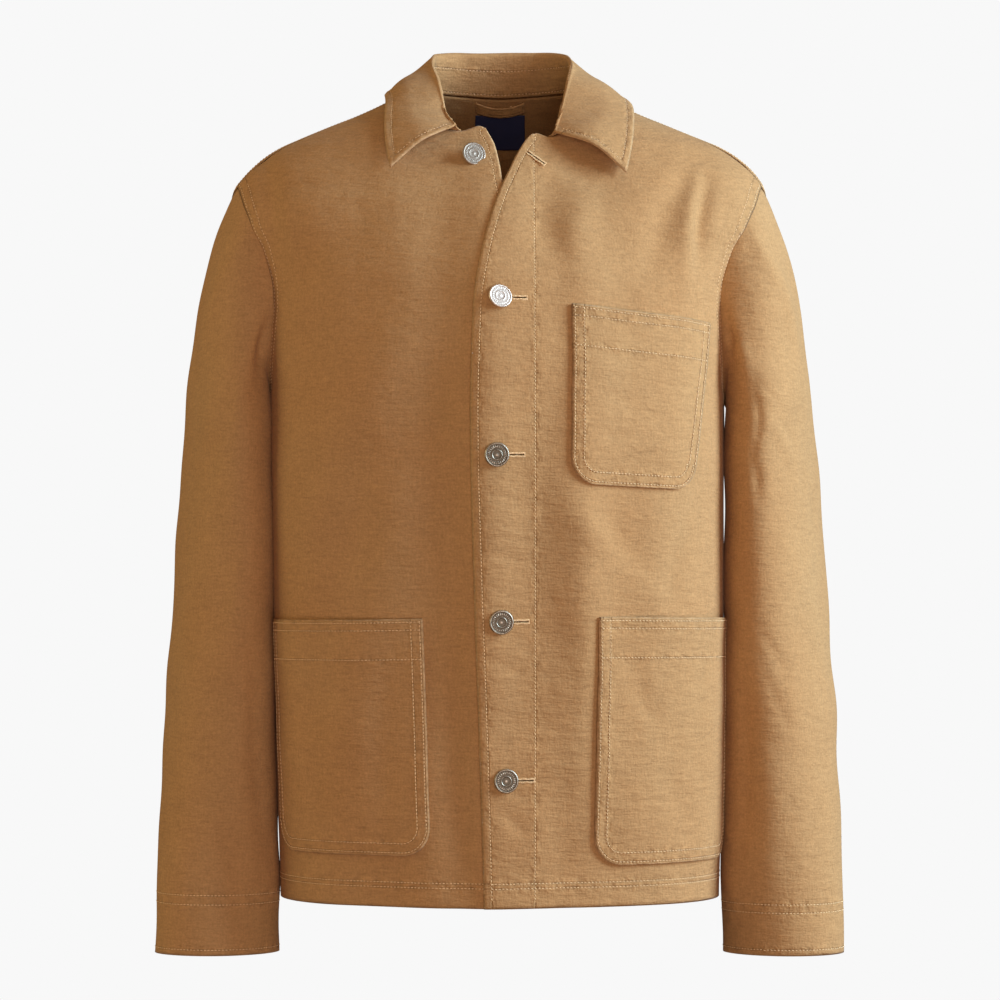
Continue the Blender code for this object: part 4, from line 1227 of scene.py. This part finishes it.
def collar_piece():
    grid = collar_grid(COLLAR_ALONG, COLLAR_PROFILE)
    # ease the roll round the centre back, where both halves meet
    low, high = len(grid) // 2 - 14, len(grid) // 2 + 15
    for _ in range(8 * COLLAR_ALONG // 10):
        aside = grid[low - 1:high - 1] + grid[low + 1:high + 1]
        grid[low:high] = 0.5 * grid[low:high] + 0.25 * aside
    t = np.linspace(0.0, 1.0, COLLAR_PROFILE)[None, :]
    s = np.linspace(-1.0, 1.0, grid.shape[0])[:, None]
    face = normals(grid, False, False)
    soft = ripple(0.30 * s + 0.0 * t, 0.12 * t + 0.0 * s, 5, 0.075, 0.0007)
    edge = near(grid, grid[:, -1][::2])
    half = COLLAR_PROFILE // 2
    ends = np.minimum(near(grid, grid[0, half:]), near(grid, grid[-1, half:]))
    free = np.minimum(edge, ends)
    puff = 0.0006 * np.exp(-(((free - 0.0030) / 0.0022) ** 2))
    puff = puff - 0.0004 * np.exp(-(((free - EDGE_ROW) / 0.0020) ** 2))
    leaf = step_up(t, 0.55, 0.70)
    grid = grid + face * ((soft * step_up(t, 0.12, 0.35) + 0.0006 * leaf + puff * leaf)[..., None])
    face = normals(grid, False, False)
    outer = free + 0.05 * (1.0 - step_up(t, 0.54, 0.66))
    stand = np.cumsum(np.linalg.norm(np.diff(grid, axis=1), axis=-1), axis=1)
    stand = np.concatenate([np.zeros((len(grid), 1)), stand], axis=1)
    maps = maps_of({"edge": outer, "hem": stand + 0.05 * step_up(t, 0.38, 0.46)})
    rows = [("edge", EDGE_ROW), ("hem", STAND_FOOT_ROW), ("hem", STAND_ROW)]
    finish = canvas("collar_canvas", rows, (("edge", 0.0024),), (), (), 1.0, 61.0)
    obj = cloth("collar_cloth", grid, maps, finish, CLOTH_SKIN)
    paths = []
    part = slice(int(0.62 * COLLAR_PROFILE), None)
    for rows, last in ((slice(0, len(grid) // 3), False), (slice(2 * len(grid) // 3, None), True)):
        at = (rows, part)
        paths.append(level_path(grid[at], face[at], free[at], EDGE_ROW, False, last))
    at = (slice(2, -2), part)
    paths.append(level_path(grid[at], face[at], free[at], EDGE_ROW, True, True))
    for level in (STAND_FOOT_ROW, STAND_ROW):
        path = level_path(grid[:, :half], face[:, :half], stand[:, :half], level, True)
        paths.append(cut_path(path, lambda p: p[:, 1] > -0.045))
    sew("collar", paths)
    return obj, grid


class Pocket:
    """A patch pocket's form: metres across from its inner side and up from its bottom."""

    UP, OVER = 80, 100  # points of the grid that its angles and heights are read from

    def __init__(self, row):
        self.name, self.side = row[0], row[1]
        r = dict(zip(POCKET_COLUMNS, row))
        self.radius = r["radius"]
        v = np.linspace(0.0, 1.0, self.UP)[:, None]
        p = np.linspace(0.0, 1.0, self.OVER)[None, :]
        inner = r["in_low"] + (r["in_top"] - r["in_low"]) * v
        outer = r["out_low"] + (r["out_top"] - r["out_low"]) * v
        z_in = r["in_low_z"] + (r["in_top_z"] - r["in_low_z"]) * v
        z_out = r["out_low_z"] + (r["out_top_z"] - r["out_low_z"]) * v
        angle = self.side * (inner + (outer - inner) * p)
        z = z_in + (z_out - z_in) * p
        self.angle, self.z, _ = even_rows(angle, z, 0.0 * angle, self.OVER)
        path = body_point(self.angle, self.z)
        self.widths = np.linalg.norm(np.diff(path, axis=1), axis=-1).sum(axis=1)
        self.height = float(np.linalg.norm(np.diff(path[:, self.OVER // 2], axis=0), axis=-1).sum())

    def width(self, h):
        return np.interp(h / self.height, np.linspace(0.0, 1.0, self.UP), self.widths)

    def gape(self, below, t):
        """How far the mouth stands off, by depth below the top and share across."""
        return POCKET_GAPE[self.name] * np.exp(-below / 0.020) * np.sin(math.pi * t) ** 0.7

    def at(self, s, h, out):
        """Points at s metres across and h metres up, lifted off the front by out."""
        v = np.clip(h / self.height, 0.0, 1.0) * (self.UP - 1)
        u = np.clip(s / self.width(h), 0.0, 1.0) * (self.OVER - 1)
        i, j = np.minimum(v.astype(int), self.UP - 2), np.minimum(u.astype(int), self.OVER - 2)
        a, b = v - i, u - j
        found = []
        for grid in (self.angle, self.z):
            low = grid[i, j] * (1.0 - b) + grid[i, j + 1] * b
            high = grid[i + 1, j] * (1.0 - b) + grid[i + 1, j + 1] * b
            found.append(low * (1.0 - a) + high * a)
        angle, z = found
        x = body_surface(angle, z)[..., 0]
        extra = folds(FOLDS_POCKET[self.name], x, z)
        base = front_relief(x, z)
        lift = placket_rise(np.abs(angle)) * (self.side > 0)
        return body_point(angle, z, out + base + extra + lift)

    def inside(self, s, h):
        """Distance in from the sewn outline, whose lower corners are round."""
        r = self.radius
        edge = np.minimum(s, self.width(h) - s)
        corner = r - np.sqrt(np.clip(r - edge, 0.0, None) ** 2 + np.clip(r - h, 0.0, None) ** 2)
        return np.where((edge < r) & (h < r), corner, np.minimum(edge, h))

    def outline(self, inset, out):
        """The sewn outline moved in by inset, from the inner top corner round to the outer one."""
        r, top = self.radius, self.height
        down = np.linspace(top - 0.0015, r, 60)
        bend = np.linspace(0.0, 0.5 * math.pi, 24)[1:-1]
        width = float(self.width(np.array(r * 0.3)))
        s = [np.full(60, inset), r - (r - inset) * np.cos(bend), np.linspace(r, width - r, 50),
             width - r + (r - inset) * np.sin(bend), self.width(down[::-1]) - inset]
        h = [down, r - (r - inset) * np.sin(bend), np.full(50, inset),
             r - (r - inset) * np.cos(bend), down[::-1]]
        s, h = np.concatenate(s), np.concatenate(h)
        return self.at(s, h, out), self.at(s, h, out + 1.0) - self.at(s, h, out)

    def across(self, below, out, inset):
        """A line across, some metres below the top edge."""
        s = np.linspace(0.0, 1.0, 70)
        h = np.full(70, self.height - below)
        width = self.width(h)
        s = inset + s * (width - 2.0 * inset)
        return self.at(s, h, out), self.at(s, h, out + 1.0) - self.at(s, h, out)


def pocket_piece(row):
    form = Pocket(row)
    v = np.linspace(0.0, 1.0, POCKET_UP) ** 1.35
    h = (v * form.height)[:, None]
    short = np.clip(form.radius - h, 0.0, None)
    inset = form.radius - np.sqrt(form.radius**2 - short**2)
    p = np.linspace(0.0, 1.0, POCKET_ACROSS)[None, :]
    s = inset + (form.width(h) - 2.0 * inset) * p
    h = h + 0.0 * s
    inside = form.inside(s, h)
    below = form.height - h
    gape = form.gape(below, np.clip(s / form.width(h), 0.0, 1.0))
    puff = 0.0009 * step_up(inside, 0.010, 0.040)
    seam = -0.0003 * np.exp(-(((inside - 0.0026) / 0.002) ** 2))
    out = POCKET_SKIN + gape + puff + seam
    grid = form.at(s, h, out)
    flip = form.side < 0
    maps = maps_of({"edge": inside, "hem": below})
    name = form.name
    top_levels = (*POCKET_TOP_LEVELS, POCKET_BAND)
    rows = [("edge", POCKET_EDGE_ROW), ("edge", POCKET_ROW)] + [("hem", at) for at in top_levels]
    finish = canvas(name + "_canvas", rows, (("edge", 0.0016), ("hem", 0.0016)),
                    (("hem", POCKET_BAND + 0.001, 0.0004), ("edge", POCKET_ROW + 0.001, 0.0003)), (), 1.0,
                    71.0 + 5.0 * len(sewn))
    obj = cloth(name + "_cloth", grid, maps, finish, POCKET_CLOTH, False, flip)

    lift = POCKET_SKIN + 0.0002
    paths = [form.outline(POCKET_EDGE_ROW, lift), form.outline(POCKET_ROW, lift + 0.0002)]
    for below_top in top_levels:
        points, ups = form.across(below_top, lift, 0.002)
        t = np.linspace(0.0, 1.0, len(points))
        aside = np.minimum(t, 1.0 - t) * float(form.width(np.array(form.height)))
        swell = form.gape(below_top, t) + 0.0009 * step_up(aside, 0.010, 0.040)
        points = points + ups / np.linalg.norm(ups, axis=1, keepdims=True) * swell[:, None]
        paths.append((points, ups))
    sew(name, paths)
    return obj, grid


FRONT_LEFT, left_grid = front("front_left", EDGE_LEFT, NECK_LEFT, 1.0, PLACKET_RISE, True)
FRONT_RIGHT, right_grid = front("front_right", EDGE_RIGHT, NECK_RIGHT, -1.0, 0.0, False)
BACK, back_grid = back_piece()
SLEEVE_L, sleeve_l_grid = sleeve("sleeve_left", 1.0, FOLDS_SLEEVE_LEFT, 21)
SLEEVE_R, sleeve_r_grid = sleeve("sleeve_right", -1.0, FOLDS_SLEEVE_RIGHT, 23)
COLLAR_OBJ, collar_points = collar_piece()
pocket_objects = {row[0]: pocket_piece(row) for row in POCKETS}


def strip(name, half, top, low, out, bulge, thickness, finish, across, up):
    """A small piece of cloth on the inside of the back, centred below the neck seam."""
    x = np.linspace(-half, half, across)[None, :]
    z = np.linspace(low, top, up)[:, None] + 0.0 * x
    deep = body_column("back", z)
    angle = 180.0 - np.degrees(np.arctan2(x, deep))
    sag = bulge * (1.0 - (x / half) ** 2)
    grid = body_point(angle, z - 0.6 * sag, -out - sag)
    rim = np.minimum(half - np.abs(x) + 0.0 * z, np.minimum(z - low, top - z))
    maps = maps_of({"edge": rim, "hem": z - low})
    return cloth(name + "_cloth", grid, maps, finish, thickness, False, True), grid


label, label_grid = strip("neck_label", 0.0220, -0.0155, -0.0440, INSIDE, 0.0, 0.0006,
                          label_finish(), 40, 26)
# the loop's canvas is toned 15% brighter than the other pieces: painted light on the loop inside the neck
loop_brightened_finish = canvas("loop_canvas_brightened", [("edge", 0.0016)], (("edge", 0.0012),), (), (), 1.15, 91.0)
loop, loop_grid = strip("hanger_loop", 0.0215, -0.0050, -0.0128, INSIDE, 0.0040, 0.0011,
                        loop_brightened_finish, 44, 10)


# ---------------------------------------------------------------- buttons and buttonholes


def frame_at(angle, z, out):
    """Point, sideways and upward directions and outward normal on the body."""
    point = body_point(angle, z, out)
    normal = body_point(angle, z, out + 1.0) - point
    side = np.cross((0.0, 0.0, 1.0), normal)
    side /= np.linalg.norm(side)
    return point, side, np.cross(normal, side), normal


def turned(name, profile, steps, point, rows, finish):
    """A turned piece placed by its side, over and up directions."""
    r = np.array([p[0] for p in profile])
    h = np.array([p[1] for p in profile])
    turn = 2.0 * math.pi * np.arange(steps) / steps
    points = [np.outer(r, np.cos(turn)), np.outer(r, np.sin(turn)), np.outer(h, np.ones(steps))]
    points = np.stack(points, -1).reshape(-1, 3)
    obj = mesh_object(name, points, grid_faces(len(profile), steps, True), {}, finish)
    matrix = [[rows[0][n], rows[1][n], rows[2][n], point[n]] for n in range(3)]
    obj.matrix_world = Matrix([*matrix, [0.0, 0.0, 0.0, 1.0]])
    return obj


def head_profile(shank):
    r = BUTTON_RADIUS
    t = shank
    return (
        (0.0, 0.0), (SHANK, 0.0), (SHANK, t), (0.60 * r, t), (0.84 * r, t + 0.00005),
        (0.93 * r, t + 0.00025), (0.98 * r, t + 0.0007), (r, t + 0.0012), (0.985 * r, t + 0.0017),
        (0.95 * r, t + 0.0021), (0.91 * r, t + 0.0023), (0.87 * r, t + 0.00225), (0.84 * r, t + 0.0020),
        (0.80 * r, t + 0.00185), (0.74 * r, t + 0.0019), (0.60 * r, t + 0.0019), (0.50 * r, t + 0.00185),
        (0.44 * r, t + 0.0020), (0.38 * r, t + 0.0020), (0.34 * r, t + 0.0018), (0.20 * r, t + 0.0018),
        (0.08 * r, t + 0.0019), (0.0, t + 0.0019),
    )


# Hollows, rubbed rims and roughness. button_2 gets a brighter copy of the nickel that paints a glint of light
# on it, and button_1 a paler grey copy that paints the light it catches.
nickel = metal_finish("antique_nickel", (0.155, 0.125, 0.09, 1.0), (0.52, 0.455, 0.365, 1.0), 0.52)
glint_painted_nickel = metal_finish("glint_painted_nickel", (0.55, 0.45, 0.38, 1.0), (0.90, 0.76, 0.65, 1.0), 0.62)
pale_painted_nickel = metal_finish("pale_painted_nickel", (0.32, 0.255, 0.20, 1.0), (0.54, 0.455, 0.375, 1.0), 0.62)


def tilted(rows, lean_side, lean_up):
    """The same directions with the head leaning a little sideways and upward."""
    side, over, normal = (np.array(v) for v in rows)
    normal = normal + side * lean_side + over * lean_up
    normal /= np.linalg.norm(normal)
    side = side - normal * float(side @ normal)
    side /= np.linalg.norm(side)
    return side, np.cross(normal, side), normal


hole_sets, slit_shadow_points, slit_shadow_faces = [], [], []
HOLE_STEP = 0.00062  # between the overcast threads
HOLE_HALF = 0.00120  # from the slit's middle to the threads' middle
HOLE_THREAD = (0.0019, 0.00034)  # length and radius
BAR_THREAD = (0.0011, 0.00036)
SLIT_POINTS = 14


def worked_hole(x, z, tilt, length, start):
    """Overcast thread round a slit that runs away from the free edge, and a near-black sheet along the slit
    that paints the shadow in its opening.
    """
    angle = float(angle_at(x, z))
    c, s = math.cos(tilt), math.sin(tilt)
    scale_a = np.linalg.norm(body_point(angle + 0.5, z) - body_point(angle - 0.5, z))
    draw = np.random.default_rng(int(1000 * abs(z)))

    def spot(u, v, out):
        across, up = u * c - v * s, u * s + v * c
        lift = PLACKET_RISE + out + front_relief(x + across, z + up)
        return body_point(angle + across / scale_a, z + up, lift)

    normal = body_point(angle, z, 1.0) - body_point(angle, z, 0.0)
    count = int((length - start) / HOLE_STEP)
    for side in (-1.0, 1.0):
        u = np.linspace(start, length, count)
        wobble = 0.00018 * np.sin(u * 900.0 + side) + draw.normal(0.0, 0.00006, count)
        mid = HOLE_HALF * side + wobble
        centre = spot(u, mid, 0.00022)
        ahead = spot(u, mid + 0.0004, 0.00022) - spot(u, mid - 0.0004, 0.00022)
        ups = np.tile(normal, (count, 1))
        hole_sets.append((centre, ahead, ups, *HOLE_THREAD))
    end = spot(np.full(5, length + 0.0004), np.linspace(-0.0016, 0.0016, 5), 0.0002)
    hole_sets.append((end, np.tile(spot(length, 0.001, 0.0) - spot(length, -0.001, 0.0), (5, 1)),
                      np.tile(normal, (5, 1)), *BAR_THREAD))
    # the near-black sheet laid just above the cloth along the slit is painted shadow in the opening
    u = np.linspace(start - 0.0004, length - 0.0002, SLIT_POINTS)
    wide = 0.00042 + 0.00030 * np.exp(-((u - start) / 0.0022) ** 2) * (start > 0.0)
    low, high = spot(u, -wide, 0.00030), spot(u, wide, 0.00030)
    base = len(slit_shadow_points)
    for a, b in zip(low, high):
        slit_shadow_points.extend([a, b])
    for n in range(SLIT_POINTS - 1):
        k = base + 2 * n
        slit_shadow_faces.append((k, k + 2, k + 3, k + 1))


def place_button(name, at, shank, finish):
    rows = tilted(at[1:], *BUTTON_LEAN[name])
    button = turned(name + "_metal", head_profile(shank), 48, at[0], rows, finish)
    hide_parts(name)


for name, z in BUTTONS:
    x = float(edge_x(EDGE_LEFT, z)) + BUTTON_PITCH_EDGE
    angle = float(angle_at(x, z))
    proud = float(front_relief(np.array(x), np.array(z))) + 0.0010
    place_button(name, frame_at(angle, z, 0.0004 + proud), PLACKET_RISE + 0.0001,
                 glint_painted_nickel if name == "button_2" else nickel)
    worked_hole(x, z, 0.0, HOLE_LENGTH + 0.0005, 0.0040)

angle = -float(angle_at(-TOP_BUTTON[0], TOP_BUTTON[1]))
place_button("button_1", frame_at(angle, TOP_BUTTON[1], GAP), 0.0030, pale_painted_nickel)
worked_hole(*TOP_BUTTONHOLE, TOP_TILT, TOP_HOLE_LENGTH, -0.0012)

# near-black sheets along the buttonhole slits: painted shadow in the openings
slit_shadow_sheets = mesh_object("buttonhole_slit_shadows", np.array(slit_shadow_points), np.array(slit_shadow_faces), {}, slit_shadow_finish())
holes = threads("buttonhole_threads", hole_sets, thread, 5)

stitches = {}
for name, sets in sewn.items():
    finish = thread_dark if name == "collar" else thread
    stitches[name] = threads(name + "_stitches", sets, finish, 50 + len(stitches))

# two bar tacks hold the hanger loop's ends
tack_sets = []
for x in (-0.0150, 0.0095):
    for z in np.linspace(-0.0060, -0.0120, 7):
        angle = 180.0 - math.degrees(math.atan2(x, float(body_column("back", z))))
        at = body_point(angle, z - 0.001, -INSIDE - 0.0023)
        across, inward = np.array([[1.0, 0.0, 0.0]]), np.array([[0.0, -1.0, 0.0]])
        tack_sets.append((at[None], across, inward, 0.0018, 0.0004))
tacks = threads("loop_tacks", tack_sets, thread_dark, 9)

declare(left_grid)
declare(right_grid)
declare(back_grid)
declare(sleeve_l_grid, True)
declare(sleeve_r_grid, True)
declare(collar_points)
for name, (obj, grid) in pocket_objects.items():
    declare(grid)
declare(label_grid)
declare(loop_grid)


# ---------------------------------------------------------------- room, light and camera


def backdrop(name, points, faces):
    """Part of the room: seen by the camera only, so it neither lights nor shades the jacket."""
    mesh = bpy.data.meshes.new(name)
    mesh.from_pydata(points, [], faces)
    obj = bpy.data.objects.new(name, mesh)
    scene.collection.objects.link(obj)
    obj.data.materials.append(glow(name + "_pale", (1.0, 1.0, 1.0), BACKDROP))
    obj.visible_diffuse = False
    obj.visible_glossy = False
    obj.visible_shadow = False
    obj.visible_transmission = False


def glow(name, colour, strength):
    mat = bpy.data.materials.new(name)
    mat.use_nodes = True
    nodes = mat.node_tree.nodes
    nodes.remove(nodes["Principled BSDF"])
    emit = nodes.new("ShaderNodeEmission")
    emit.inputs["Color"].default_value = (*colour, 1.0)
    emit.inputs["Strength"].default_value = strength
    mat.node_tree.links.new(emit.outputs["Emission"], nodes["Material Output"].inputs["Surface"])
    return mat


# A pale round wall and a pale floor that the jacket hangs well clear of.
turns = [math.radians(5.0 * k) for k in range(73)]
backdrop("wall",
         [(ROOM_RADIUS * math.cos(turn), ROOM_RADIUS * math.sin(turn), height)
          for turn in turns for height in (ROOM_FLOOR, ROOM_TOP)],
         [(2 * k, 2 * k + 2, 2 * k + 3, 2 * k + 1) for k in range(72)])
corners = [(u * ROOM_RADIUS, v * ROOM_RADIUS, ROOM_FLOOR) for u, v in ((-1, -1), (1, -1), (1, 1), (-1, 1))]
backdrop("floor", corners, [(0, 1, 2, 3)])

world = bpy.data.worlds.new("studio")
world.use_nodes = True
world.node_tree.nodes["Background"].inputs["Color"].default_value = WORLD_COLOUR
world.node_tree.nodes["Background"].inputs["Strength"].default_value = WORLD_LIGHT
scene.world = world


def lamp(name, azimuth, height, away, size, power, colour):
    """A soft square light aimed at the chest; azimuth in degrees from the front towards +X."""
    light = bpy.data.lights.new(name, "AREA")
    light.shape = "RECTANGLE"
    light.size, light.size_y = size
    light.energy = power
    light.color = colour
    obj = bpy.data.objects.new(name, light)
    scene.collection.objects.link(obj)
    turn = math.radians(azimuth)
    target = Vector(LIGHT_TARGET)
    obj.location = target + Vector((away * math.sin(turn), -away * math.cos(turn), height))
    obj.rotation_euler = (target - obj.location).to_track_quat("-Z", "Y").to_euler()
    return obj


for row in LAMPS:
    lamp(*row)

camera_data = bpy.data.cameras.new("camera")
camera_data.lens = LENS
camera_data.sensor_width = SENSOR
camera_data.dof.use_dof = False
camera_data.clip_end = 50.0
camera = bpy.data.objects.new("camera", camera_data)
camera.location = CAMERA_AT
camera.rotation_euler = (math.radians(90.0), 0.0, 0.0)
scene.collection.objects.link(camera)
scene.camera = camera
scene.view_settings.view_transform = "Standard"
scene.view_settings.look = "None"

bpy.context.view_layer.update()
